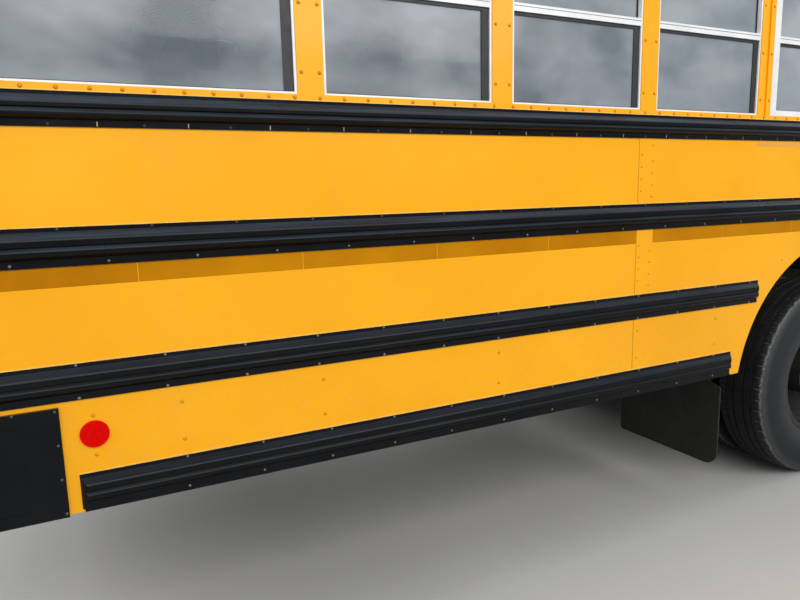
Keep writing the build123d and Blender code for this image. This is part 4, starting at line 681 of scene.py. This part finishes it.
def make_tape(side_name, side):
    front = SIDE_FRONT_X[side_name] - TAPE_FRONT_GAP
    first = local(TAPE_FIRST)
    while first > WALL_REAR_X:
        first -= TAPE_LENGTH
    gap = [local(out) for out in TAPE_GAP]
    spans = []
    for start in every(TAPE_LENGTH, first, front):
        low = max(start + TAPE_JOINT / 2, WALL_REAR_X)
        high = min(start + TAPE_LENGTH - TAPE_JOINT / 2, front)
        parts = [(low, high)]
        if low < gap[0] < high or low < gap[1] < high or (gap[0] <= low and high <= gap[1]):
            parts = [(low, min(high, gap[0])), (max(low, gap[1]), high)]
        parts = [part for part in parts if part[1] - part[0] > TAPE_LEAST]
        spans.extend((part, on_side(side, (0, TAPE_T)), TAPE_Z) for part in parts)
    boxes(f"reflective_tape_{side_name}", spans, "reflective_tape")
    strip = ((local(STRIP_FIRST), front), on_side(side, (0, TAPE_T)), STRIP_Z)
    boxes(f"trim_strip_{side_name}", [strip], "trim_strip")


# Rub rails: screws on the flanges

SCREW = (0.0055, 0.0030)
DULL_SCREW = (0.004675, 0.0021)
RAIL_FLANGE = 0.0043
RAILS = [
    # name, spans along the bus, screw pitch, place of one screw, free length at a span's rear end
    ("window", [("wall", "front")], 0.237, -0.610, 0.030),
    ("seat", [("wall", "front")], 0.239, -0.6126, 0.030),
    ("floor", [("wall", "arch"), ("arch", "front")], 0.2356, -0.722, 0.030),
    ("skirt", [("wrap", "arch"), ("arch", "front")], 0.2328, -0.679, 0.080),
]
RAIL_GAP = {"floor": 0.621, "skirt": 0.785}
RAIL_REAR_X = {"wall": REAR_X + 0.145, "wrap": REAR_X + 0.432}
RAIL_FRONT_X = {"right": DOOR_REAR_X - 0.060, "left": DOOR_FRONT_X - 0.030}
RAIL_SCREWS = {
    # kind of screw, its place in each pitch, which edge of the rail it is near, rise from that edge
    "window": [("dark", 0.5, 0, 0.006)],
    "seat": [("dull", 0, 0, 0.009), ("dark", 0.5, 1, -0.006)],
    "floor": [("pale", 0, 0, 0.005), ("dull", 0, 1, -0.005)],
    "skirt": [("dull", 0, 0, 0.005), ("dull", 0, 1, -0.005)],
}
SCREW_KINDS = (
    ("pale", "rail_screws", SCREW, "worn_zinc"),
    ("dark", "rail_dark_screws", SCREW, "black_screw"),
    ("dull", "rail_dull_screws", DULL_SCREW, "dull_screw"),
)
SCREW_END = 0.02
TICK_HALF = 0.0015
TICK_RISE = (0.002, 0.014)
TICK_REACH = (RAIL_FLANGE - 0.0005, RAIL_FLANGE + 0.0006)


def rail_spans(level, ends, side_name):
    spans = []
    for low, high in ends:
        gap = RAIL_GAP.get(level, 0)
        start = ARCH_X + gap if low == "arch" else RAIL_REAR_X[low]
        stop = ARCH_X - gap if high == "arch" else RAIL_FRONT_X[side_name]
        spans.append((start, stop))
    return spans


def make_rail_screws(side_name, side):
    y = side * (HALF_WIDTH + RAIL_FLANGE)
    screws = {kind: [] for kind, *_ in SCREW_KINDS}
    ticks = []
    for level, ends, pitch, first, margin in RAILS:
        tick_z = tuple(RAIL_Z[level][0] + rise for rise in TICK_RISE)
        for low, high in rail_spans(level, ends, side_name):
            index = math.ceil((low + margin - local(first)) / pitch)
            for x in every(pitch, local(first) + index * pitch, high - SCREW_END):
                for kind, share, edge, rise in RAIL_SCREWS[level]:
                    if x + share * pitch < high - SCREW_END:
                        screws[kind].append((x + share * pitch, y, RAIL_Z[level][edge] + rise))
                if level == "window":
                    ticks.append(((x - TICK_HALF, x + TICK_HALF), on_side(side, TICK_REACH), tick_z))
    for kind, name, size, finish in SCREW_KINDS:
        domes(f"{name}_{side_name}", screws[kind], side, size, finish)
    boxes(f"rail_joint_ticks_{side_name}", ticks, "zinc_screw")


# Windows: seals, painted shade and lines

FRAME_FACE = 0.008
FRAME_SILL = 0.006
# Dark bands of painted shade in the recess of the lower pane: at its front end and under the sash bar.
END_SHADE_BAND = 0.031
BAR_SHADE_BAND = 0.012
SEAL_REACH = 0.004
SILL_SEAL = 0.003
UPPER_SEAL = 0.006
LINE_REACH = (-0.0041, -0.0036)
LINE_RISE = 0.62 * SASH_BAR
LINE_WIDTH = 0.0018
LAST_WINDOW_GAP = 0.100


def window_spans(side_name):
    """Clear opening of each window's frame along the bus."""
    half = POST_WIDTH / 2
    spans = [(WALL_REAR_X, FIRST_POST_X - half)]
    for index in range(POST_COUNT - 1):
        post = local(index * PITCH)
        spans.append((post + half, post + PITCH - half))
    if side_name == "left":
        spans.append((local((POST_COUNT - 1) * PITCH) + half, DOOR_FRONT_X - LAST_WINDOW_GAP))
    return spans


def make_window_seals_and_shade(side_name, side):
    seals = []
    lines = []
    for index, (rear, front) in enumerate(window_spans(side_name)):
        face = EXIT_FRAME if index == EXIT_WINDOW else FRAME_FACE
        sill = EXIT_SILL if index == EXIT_WINDOW else FRAME_SILL
        rear, front = rear + face, front - face
        low, high = WINDOW_LOW_Z + sill, WINDOW_HIGH_Z - sill
        pane = on_side(side, (-LOWER_GLASS_IN, -LOWER_GLASS_IN + SEAL_REACH))
        # The front-end band and the band under the sash bar are painted shade in the recess; the sill and
        # upper strips are seals.
        seals.append(((front - END_SHADE_BAND, front), pane, (low, SASH_BAR_Z)))
        seals.append(((rear, front - END_SHADE_BAND), pane, (SASH_BAR_Z - BAR_SHADE_BAND, SASH_BAR_Z)))
        seals.append(((rear, front - END_SHADE_BAND), pane, (low, low + SILL_SEAL)))
        upper = on_side(side, (-UPPER_GLASS_IN, -UPPER_GLASS_IN + SEAL_REACH))
        top = SASH_BAR_Z + SASH_BAR
        for x in ((rear, rear + UPPER_SEAL), (front - UPPER_SEAL, front)):
            seals.append((x, upper, (top, high)))
        z = SASH_BAR_Z + LINE_RISE
        lines.append(((rear, front), on_side(side, LINE_REACH), (z, z + LINE_WIDTH)))
    boxes(f"window_seals_and_shade_{side_name}", seals, "seal_rubber")
    boxes(f"sash_lines_{side_name}", lines, "seal_rubber")


SIDE_MAKERS = (make_side_rivets, make_seams, make_lips, make_skirt_edge, make_tape, make_rail_screws,
               make_window_seals_and_shade)
for side_name, side in SIDES.items():
    for make in SIDE_MAKERS:
        make(side_name, side)


# Tyres: worn road tread in place of the plain rings

LUGS = 55
SIDE_PROFILE = [
    # distance from the wheel's middle plane, radius
    (0.0932, 0.2868), (0.0942, 0.3006), (0.1000, 0.3022), (0.1080, 0.3058), (0.1150, 0.3118),
    (0.1190, 0.3158), (0.1222, 0.3172), (0.1240, 0.3200), (0.1280, 0.3320), (0.1335, 0.3500),
    (0.1378, 0.3740), (0.1392, 0.3980), (0.1392, 0.4080), (0.1382, 0.4300), (0.1362, 0.4500),
    (0.1335, 0.4650), (0.1330, 0.4690), (0.1308, 0.4800), (0.1285, 0.4900), (0.1262, 0.4995),
    (0.1225, 0.5085), (0.1165, 0.5155), (0.1080, 0.5205),
]
TREAD_ROWS = [
    # distance from the wheel's middle plane, whether the row is a groove's bed
    (0.0980, 0), (0.0860, 0), (0.0740, 0), (0.0725, 1), (0.0660, 1), (0.0645, 0), (0.0480, 0), (0.0330, 0),
    (0.0315, 1), (0.0250, 1), (0.0235, 0), (0.0120, 0), (0.0, 0),
]
GROOVE_DEPTH = 0.0075
SLOT_DEPTH = 0.0016
SIPE_DEPTH = 0.0035
DUSTY_SLOT = (0.0830, 0.1170)
SLOT_REACH = (0.0850, 0.1120)
ZIGZAG = 0.0022
ZIGZAG_WITHIN = 0.08
SIPE_WITHIN = 0.098
CROWN_DROP = 0.0001
CROWN_BEND = 0.30
CROWN_EDGE = 0.07
CROWN_EDGE_BEND = 8.0
PITCH_COLUMNS = [
    # share of one lug pitch, kind of cut at that column
    (0.00, None), (0.008, "slot"), (0.044, "slot"), (0.052, None),
    (0.50, None), (0.510, "sipe"), (0.527, "sipe"), (0.537, None),
]


def crown(offset):
    """Tread radius across the tyre's width."""
    edge = max(abs(offset) - CROWN_EDGE, 0.0)
    return TYRE_R - CROWN_DROP - CROWN_BEND * offset**2 - CROWN_EDGE_BEND * edge**3


def tyre_rows():
    """Profile from one bead to the other: offset, radius, groove bed or not, and whether it is tread."""
    half = [(a, r, 0, False) for a, r in SIDE_PROFILE]
    half += [(a, crown(a) - GROOVE_DEPTH * bed, bed, True) for a, bed in TREAD_ROWS]
    other = [(-a, r, bed, tread) for a, r, bed, tread in reversed(half[:-1])]
    return half + other


def add_tyre(bm, axle_x, y):
    rows = tyre_rows()
    columns = [(lug, share, cut) for lug in range(LUGS) for share, cut in PITCH_COLUMNS]
    rings = []
    slotted = []
    for lug, share, cut in columns:
        angle = 2 * math.pi * (lug + share) / LUGS
        zig = ZIGZAG * (4 * abs((2 * share) % 1 - 0.5) - 1)
        ring = []
        cuts = []
        for a, r, bed, tread in rows:
            depth = 0.0
            size = abs(a)
            if cut == "slot" and SLOT_REACH[0] < size < SLOT_REACH[1]:
                depth = SLOT_DEPTH
            if cut == "sipe" and tread and not bed and size < SIPE_WITHIN:
                depth = SIPE_DEPTH
            across = a + zig if tread and size < ZIGZAG_WITHIN else a
            radius = r - depth
            x, z = axle_x + radius * math.sin(angle), TYRE_R - radius * math.cos(angle)
            ring.append(bm.verts.new((x, y + across, z)))
            cuts.append(depth > 0)
        rings.append(ring)
        slotted.append(cuts)
    for index, ring in enumerate(rings):
        following = (index + 1) % len(rings)
        after = rings[following]
        for row in range(len(rows) - 1):
            face = bm.faces.new((ring[row], ring[row + 1], after[row + 1], after[row]))
            deep = any(slotted[column][row] or slotted[column][row + 1] for column in (index, following))
            dusty = deep and DUSTY_SLOT[0] < abs(rows[row][0]) < DUSTY_SLOT[1]
            face.material_index = 1 if dusty else 0
            face.smooth = not deep and not rows[row][3]


def tyre_piece(name, node, body, axle_x, across, rubber):
    def build(bm):
        for y in across:
            add_tyre(bm, axle_x, y)
    obj = piece(name, build, rubber, body)
    obj.data.materials.append(FINISHES["dusty_rubber"])
    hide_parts(node)


for side_name, side in SIDES.items():
    tyre_piece(f"tread_front_{side_name}", f"front_tyre_{side_name}", f"front_wheel_{side_name}",
               FRONT_AXLE_X, [side * STEER_Y], "tyre_rubber_front")
    tyre_piece(f"tread_rear_{side_name}", f"rear_tyres_{side_name}", f"rear_wheels_{side_name}",
               REAR_AXLE_X, [side * y for y in TWIN_Y], "tyre_rubber_rear")


# Seats: padded vinyl benches, blown up once as cloth and copied to every row

SEAT_ROWS = 12
SEAT_FIRST_X = REAR_X + 0.140
SEAT_Y = (0.172, 1.162)
SEAT_LOW_Z = FLOOR_Z + 0.330
SEAT_BACK_T = 0.080
DRIVER_X = 3.140
DRIVER_Y = (0.360, 0.860)
DRIVER_LIFT = 0.100
DRIVER_BACK_T = 0.0995
PAD_INSET = 0.010
PAD_CAP = 0.011
PAD_VOXEL = 0.025
PAD_PRESSURE = 4.0
PAD_FRAMES = 20
CUSHION_DEPTH = 0.390
CUSHION_T = 0.130
BACK_HEIGHT = 0.760
SHOULDER = (0.105, 0.145)
CUSHION_RADII = (0.012, 0.020, 0.050, 0.012)
BACK_RADII = (0.015, 0.015, 0.085, 0.068, 0.068, 0.085)
SEAT_CLEARANCE = 0.0005
WELT_R = 0.0045
WELT_INSET = 0.020
WELT_FRONT_INSET = 0.022
WELT_RADII = [0.03] * 4
WELT_SIDES = 6
WELT_SPACING = {"cushion": 0.030, "back": 0.035}
WELT_SHRINK = 0.97
WELT_FRONT_X = 0.34
WELT_FRONT_DROP = 0.020


def rounded_outline(corners, radii, steps=5):
    """Closed outline with its corners rounded, as a list of points."""
    points = []
    for index, (corner, r) in enumerate(zip(corners, radii)):
        here = Vector(corner)
        before = (Vector(corners[index - 1]) - here).normalized()
        after = (Vector(corners[(index + 1) % len(corners)]) - here).normalized()
        start, end = here + before * r, here + after * r
        for step in range(steps + 1):
            t = step / steps
            points.append(start * (1 - t) ** 2 + here * (2 * t * (1 - t)) + end * t**2)
    return points


def resampled(outline_points, spacing):
    """The same closed outline, with points added where two are further apart than the spacing."""
    dense = []
    for index, point in enumerate(outline_points):
        step = outline_points[(index + 1) % len(outline_points)] - point
        count = max(1, int(step.length / spacing))
        dense.extend(point + step * (i / count) for i in range(count))
    return dense


def pad_base(name, outline_points, span, place):
    """Prism from an outline and a span across it. place turns (outline point, across) into a corner."""
    def build(bm):
        prism(bm, *[[place(point, across) for point in outline_points] for across in span])
    return built(name, build)


def evaluated_mesh(obj):
    depsgraph = bpy.context.evaluated_depsgraph_get()
    return bpy.data.meshes.new_from_object(obj.evaluated_get(depsgraph))


def blown_up(mesh):
    """Remeshes a pad and blows it up as cloth, no point moving further than the cap."""
    obj = linked("pad_work", mesh)
    remesh = obj.modifiers.new("remesh", "REMESH")
    remesh.mode = "VOXEL"
    remesh.voxel_size = PAD_VOXEL
    base = evaluated_mesh(obj)
    obj.modifiers.clear()
    obj.data = base
    cloth = obj.modifiers.new("cloth", "CLOTH")
    cloth.settings.use_pressure = True
    cloth.settings.uniform_pressure_force = PAD_PRESSURE
    cloth.settings.effector_weights.gravity = 0
    for step in range(1, PAD_FRAMES + 1):
        bpy.context.scene.frame_set(step)
    swollen = [vertex.co.copy() for vertex in evaluated_mesh(obj).vertices]
    obj.modifiers.clear()
    bpy.context.scene.frame_set(1)
    for vertex, moved in zip(base.vertices, swollen):
        step = moved - vertex.co
        if step.length > PAD_CAP:
            step *= PAD_CAP / step.length
        vertex.co += step
    points = [vertex.co.copy() for vertex in base.vertices]
    faces = [tuple(face.vertices) for face in base.polygons]
    bpy.data.objects.remove(obj)
    return points, faces


def tube_along(points, r, sides):
    """Tube of a few sides along a closed loop of points."""
    verts = []
    faces = []
    count = len(points)
    for index, point in enumerate(points):
        ahead = points[(index + 1) % count] - points[index - 1]
        u, v, _ = basis(ahead)
        for side in range(sides):
            angle = 2 * math.pi * side / sides
            verts.append(point + (u * math.cos(angle) + v * math.sin(angle)) * r)
    for index in range(count):
        here, after = index * sides, (index + 1) % count * sides
        for side in range(sides):
            other = (side + 1) % sides
            faces.append((here + side, here + other, after + other, after + side))
    return verts, faces


def welt(pad, path):
    """Piping sewn round a pad: each point of the path is set on the pad's surface."""
    tree = BVHTree.FromPolygons(*pad)
    on_pad = [tree.find_nearest(Vector(point))[0] for point in path]
    return tube_along(on_pad, WELT_R, WELT_SIDES)


def copies(name, shape, places, mirrored, finish):
    """One piece from copies of a shape, moved to each place and mirrored across the bus."""
    points, faces = shape
    verts = []
    polygons = []
    for offset in places:
        for side in (1, -1) if mirrored else (1,):
            start = len(verts)
            for point in points:
                moved = point + Vector(offset)
                verts.append((moved.x, side * moved.y, moved.z))
            order = 1 if side == 1 else -1
            polygons.extend(tuple(start + i for i in face[::order]) for face in faces)
    mesh = bpy.data.meshes.new(name)
    mesh.from_pydata(verts, [], polygons)
    mesh.update()
    mesh.shade_smooth()
    return dress(name, mesh, finish)


def cushion_shape(y):
    """Cushion profile along the bus, with its front edges rounded, drawn at the seat's own origin."""
    low, high = PAD_INSET, CUSHION_DEPTH - PAD_INSET
    base, top = PAD_INSET, CUSHION_T - PAD_INSET
    corners = [(low, base), (high, base), (high, top), (low, top)]
    profile = rounded_outline(corners, CUSHION_RADII)
    span = (y[0] + PAD_INSET, y[1] - PAD_INSET)
    pad = blown_up(pad_base("cushion", profile, span, lambda p, across: (p[0], across, p[1])))
    right, left = y[0] + WELT_INSET, y[1] - WELT_INSET
    rear, front = WELT_INSET, CUSHION_DEPTH - WELT_FRONT_INSET
    corners = [(rear, right), (front, right), (front, left), (rear, left)]
    edge = resampled(rounded_outline(corners, WELT_RADII, 6), WELT_SPACING["cushion"])
    seam = [(x, across, CUSHION_T - WELT_FRONT_DROP * (x > WELT_FRONT_X)) for x, across in edge]
    return pad, welt(pad, seam)


def back_shape(y, thickness):
    """Upright back with rounded shoulders, drawn at the seat's own origin."""
    low, high = PAD_INSET, BACK_HEIGHT - PAD_INSET
    near, far = y[0] + PAD_INSET, y[1] - PAD_INSET
    inward, down = SHOULDER
    corners = [(near, low), (far, low), (far, high - down), (far - inward, high), (near + inward, high),
               (near, high - down)]
    profile = rounded_outline(corners, BACK_RADII)
    span = (PAD_INSET, thickness - PAD_INSET)
    pad = blown_up(pad_base("back", profile, span, lambda p, across: (across, p[0], p[1])))
    middle = Vector(((near + far) / 2, (low + high) / 2))
    ring = [middle + (p - middle) * WELT_SHRINK for p in resampled(profile, WELT_SPACING["back"])]
    points = []
    faces = []
    for across in (0.0, thickness):
        verts, quads = welt(pad, [(across, p[0], p[1]) for p in ring])
        faces += [tuple(i + len(points) for i in quad) for quad in quads]
        points += verts
    return pad, (points, faces)


def make_seats():
    rows = [SEAT_FIRST_X + index * PITCH for index in range(SEAT_ROWS)]
    seats = [(x + SEAT_BACK_T + SEAT_CLEARANCE, 0.0, SEAT_LOW_Z) for x in rows]
    backs = [(x, 0.0, SEAT_LOW_Z) for x in rows + [rows[-1] + PITCH]]
    driver_z = SEAT_LOW_Z + DRIVER_LIFT
    driver_front = [(DRIVER_X + DRIVER_BACK_T + SEAT_CLEARANCE, 0.0, driver_z)]
    driver = [(DRIVER_X, 0.0, driver_z)]
    pads = (
        # names of the pad and its piping, their shapes, places, mirrored or not, how full the pad is
        ("bench_cushions", "bench_cushion_welts", cushion_shape(SEAT_Y), seats, True, 0.8),
        ("bench_backs", "bench_back_welts", back_shape(SEAT_Y, SEAT_BACK_T), backs, True, 0.7),
        ("driver_cushion", "driver_cushion_welt", cushion_shape(DRIVER_Y), driver_front, False, 0.8),
        ("driver_backrest", "driver_back_welts", back_shape(DRIVER_Y, DRIVER_BACK_T), driver, False, 0.7),
    )
    for name, welt_name, (pad, piping), places, mirrored, fill in pads:
        obj = copies(name, pad, places, mirrored, "seat_vinyl")
        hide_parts("seat_cushions")
        copies(welt_name, piping, places, mirrored, "seat_welt")


make_seats()


# Inside: riveted covers over the window posts

POST_COVER_HALF = 0.046
POST_COVER_IN = 0.016
POST_COVER_GAP = 0.0005
POST_COVER_Z = (WINDOW_LOW_Z - 0.02, WINDOW_HIGH_Z + 0.02)
POST_COVER_RIVET = (0.006, 0.003)
POST_COVER_RIVET_OUT = 0.030
POST_COVER_RIVET_Z = [WINDOW_LOW_Z + 0.03 + row * 0.085 for row in range(8)]


def make_post_covers(side_name, side):
    covers = []
    rivets = []
    face = side * (INNER_Y - POST_COVER_IN)
    y = tuple(sorted((face, side * (INNER_Y - POST_COVER_GAP))))
    for index in range(POST_COUNT):
        x = local(index * PITCH)
        covers.append(((x - POST_COVER_HALF, x + POST_COVER_HALF), y, POST_COVER_Z))
        for z in POST_COVER_RIVET_Z:
            rivets.extend((x + out, face, z) for out in (-POST_COVER_RIVET_OUT, POST_COVER_RIVET_OUT))
    boxes(f"post_covers_{side_name}", covers, "grey_lining")
    domes(f"post_cover_rivets_{side_name}", rivets, -side, POST_COVER_RIVET, "grey_lining")


# Rear bumper screws, wheel nuts and mirror glass

BUMPER_Y = HALF_WIDTH + 0.012
BUMPER_SCREWS = ((-0.786, 0.995), (-0.786, 0.897), (-0.786, 0.797), (-0.783, 0.696), (-0.888, 1.000))
NUT_CIRCLE = 0.1425
NUT_COUNT = 10
NUT_R = 0.0165
NUT_HEIGHT = 0.022
STUD_R = NUT_R * 0.62
STUD_END = NUT_HEIGHT + 0.012
BUMPER_SCREW = (0.005, 0.0025)
NUT_SETS = (
    # name, axle, face of the wheel's disc, body
    ("rear_wheel_nuts", REAR_AXLE_X, 0.882, "rear_wheels"),
    ("front_wheel_nuts", FRONT_AXLE_X, 1.122, "front_wheel"),
)
MIRROR_X = (4.1838, 4.1852)
MIRROR_Y = (1.465, 1.655)
MIRROR_Z = (1.806, 2.274)


def add_nut(bm, point, side):
    """Hexagonal wheel nut with a stud end."""
    x, y, z = point
    for sides, r, start, stop in ((6, NUT_R, 0.0, NUT_HEIGHT), (12, STUD_R, NUT_HEIGHT, STUD_END)):
        angles = [2 * math.pi * i / sides for i in range(sides)]
        prism(bm, *[[(x + r * math.cos(a), y + side * reach, z + r * math.sin(a)) for a in angles]
                    for reach in (start, stop)])


def make_nuts(name, side, axle_x, face, body):
    def build(bm):
        for index in range(NUT_COUNT):
            angle = 2 * math.pi * (index + 0.5) / NUT_COUNT
            x, z = axle_x + NUT_CIRCLE * math.cos(angle), TYRE_R + NUT_CIRCLE * math.sin(angle)
            add_nut(bm, (x, side * face, z), side)
    piece(name, build, "wheel_nut", body)


for side_name, side in SIDES.items():
    make_post_covers(side_name, side)
    screws = [(local(x), side * BUMPER_Y, z) for x, z in BUMPER_SCREWS]
    domes(f"bumper_screws_{side_name}", screws, side, BUMPER_SCREW, "worn_screw")
    for name, axle_x, face, body in NUT_SETS:
        make_nuts(f"{name}_{side_name}", side, axle_x, face, f"{body}_{side_name}")
    mirror = (MIRROR_X, tuple(sorted(side * y for y in MIRROR_Y)), MIRROR_Z)
    boxes(f"mirror_glass_{side_name}", [mirror], "mirror_glass")


# Roof: riveted bow seams, reflective tape round the emergency door, and the stop sign's border

STOP_X = 2.492
STOP_Z = 1.625
STOP_Y = (1.2605, 1.2695)
STOP_BORDER = (0.214, 0.224)
ROOF_SEAM_WIDTH = 0.034
ROOF_SEAM_LIFT = 0.0015
ROOF_SEAM_STEPS = 48
ROOF_MIDDLE_Z = 2.35
ROOF_LOW_Z = 2.60
ROOF_SEAM_FIRST = 16
ROOF_SEAM_TURN = 148
ROOF_RIVET = (0.006, 0.0028, 6, 2)
ROOF_RIVET_BACK = 0.010
ROOF_FRONT_GAP = 0.6
ROOF_RAY = 3.0


def make_roof_seams():
    roof = nodes["roof"]
    tree = BVHTree.FromPolygons([v.co.copy() for v in roof.data.vertices],
                                [tuple(p.vertices) for p in roof.data.polygons])
    rivets = []

    def surface_point(x, angle):
        outward = Vector((0, math.cos(angle), math.sin(angle)))
        start = Vector((x, 0, ROOF_MIDDLE_Z)) + outward * ROOF_RAY
        found, normal, _, _ = tree.ray_cast(start, -outward)
        return (found, normal) if found is not None and found.z > ROOF_LOW_Z else None

    def build(bm):
        for x in every(PITCH, FIRST_POST_X - PITCH / 2, COWL_X - ROOF_FRONT_GAP):
            near = []
            for step in range(ROOF_SEAM_STEPS + 1):
                angle = math.radians(ROOF_SEAM_FIRST + ROOF_SEAM_TURN * step / ROOF_SEAM_STEPS)
                half = ROOF_SEAM_WIDTH / 2
                pair = [surface_point(x + out, angle) for out in (-half, half)]
                if None in pair:
                    if len(near) > 2:
                        break
                    continue
                near.append([bm.verts.new(p + n * ROOF_SEAM_LIFT) for p, n in pair])
                if step % 2 == 0:
                    p, n = pair[0]
                    rivets.append((Vector((x - ROOF_RIVET_BACK, p.y, p.z)) + n * ROOF_SEAM_LIFT, n))
            for low, high in zip(near, near[1:]):
                bm.faces.new((low[0], low[1], high[1], high[0]))
    seams = piece("roof_seams", build, "yellow_enamel")
    solid = seams.modifiers.new("thickness", "SOLIDIFY")
    solid.thickness = ROOF_SEAM_LIFT + 0.001
    solid.offset = 0.0

    def build_rivets(bm):
        for point, normal in rivets:
            add_dome(bm, point, normal, *ROOF_RIVET)
    piece("roof_rivets", build_rivets, "rivet_enamel", smooth=True)


REAR_TAPE_T = 0.0004
REAR_TAPE = (
    # y and z spans on the rear face: beside the emergency door, over it, and along the corners
    ((-0.515, -0.490), (1.125, 2.490)),
    ((0.490, 0.515), (1.125, 2.490)),
    ((-0.515, 0.515), (2.515, 2.540)),
    ((-1.060, -0.560), (1.020, 1.070)),
    ((0.560, 1.060), (1.020, 1.070)),
)


def make_rear_tape():
    spans = [((REAR_X - REAR_TAPE_T, REAR_X), y, z) for y, z in REAR_TAPE]
    boxes("rear_tape", spans, "reflective_tape")


def make_stop_border():
    """White line round the blank stop sign, on both faces."""
    def build(bm):
        angles = [math.pi * (i + 0.5) / 4 for i in range(8)]
        stretch = 1 / math.cos(math.pi / 8)
        for y in STOP_Y:
            rings = []
            for r in (apothem * stretch for apothem in STOP_BORDER):
                points = [(STOP_X + r * math.cos(a), y, STOP_Z + r * math.sin(a)) for a in angles]
                rings.append([bm.verts.new(point) for point in points])
            bridge(bm, *rings)
    piece("stop_sign_border", build, "white_frame", "stop_arm")


make_roof_seams()
make_rear_tape()
make_stop_border()


# Floor, light and world

FLOOR_HALF = 30.0
SEEN_RAYS = ("Camera", "Glossy", "Transmission")
LAMPS = (
    # name, place, target, width and height, watts
    ("key_right", (-3.0, -10.5, 7.0), (-2.5, 0.0, 1.2), (14.0, 6.0), 1130),
    ("key_left", (0.0, 10.5, 7.0), (0.0, 0.0, 1.2), (16.0, 6.0), 1000),
    ("top", (0.0, 0.0, 12.0), (0.0, 0.0, 0.0), (16.0, 6.0), 280),
    ("front", (12.0, 0.0, 7.0), (5.0, 0.0, 1.2), (8.0, 5.0), 560),
    ("rear", (-13.0, 0.0, 7.0), (-5.0, 0.0, 1.2), (8.0, 5.0), 560),
)


def make_stage():
    """Plain pale floor. It lights the bus less than its own colour would."""
    mesh = bpy.data.meshes.new("studio_floor")
    corners = [(x * FLOOR_HALF, y * FLOOR_HALF, 0.0) for x, y in ((-1, -1), (1, -1), (1, 1), (-1, 1))]
    mesh.from_pydata(corners, [], [(0, 1, 2, 3)])
    look = Finish("studio_floor", specular=0.2)
    cloud = look.spread(look.noise(look.coordinate(), 0.6))
    pale = look.mix(cloud, (0.42, 0.41, 0.39), (0.46, 0.45, 0.43))
    camera, gloss, through = (look.add("LightPath", f"Is {kind} Ray", {}) for kind in SEEN_RAYS)
    seen = look.math("MAXIMUM", look.math("MAXIMUM", camera, gloss), through)
    mesh.materials.append(look.connect(look.mix(seen, (0.20, 0.20, 0.20), pale), 0.85))
    linked("studio_floor", mesh)


def make_lights():
    for name, location, target, size, power in LAMPS:
        data = bpy.data.lights.new(name, "AREA")
        data.shape = "RECTANGLE"
        data.size, data.size_y = size
        data.energy = power
        direction = Vector(target) - Vector(location)
        turn = direction.to_track_quat("-Z", "Y").to_matrix().to_4x4()
        linked(name, data).matrix_world = Matrix.Translation(location) @ turn


def make_world():
    """Soft pale surroundings, a little brighter overhead."""
    world = bpy.data.worlds.new("studio")
    bpy.context.scene.world = world
    sky = Tree(world)
    background = sky.nodes["Background"].inputs
    background["Color"].default_value = (0.88, 0.92, 0.97, 1.0)
    up = sky.z_of(sky.coordinate("Generated"))
    sky.feed(background["Strength"], sky.ramp(up, 0.0, 0.7, 0.40, 0.80))


make_stage()
make_lights()
make_world()
bpy.context.scene.view_settings.view_transform = "Standard"
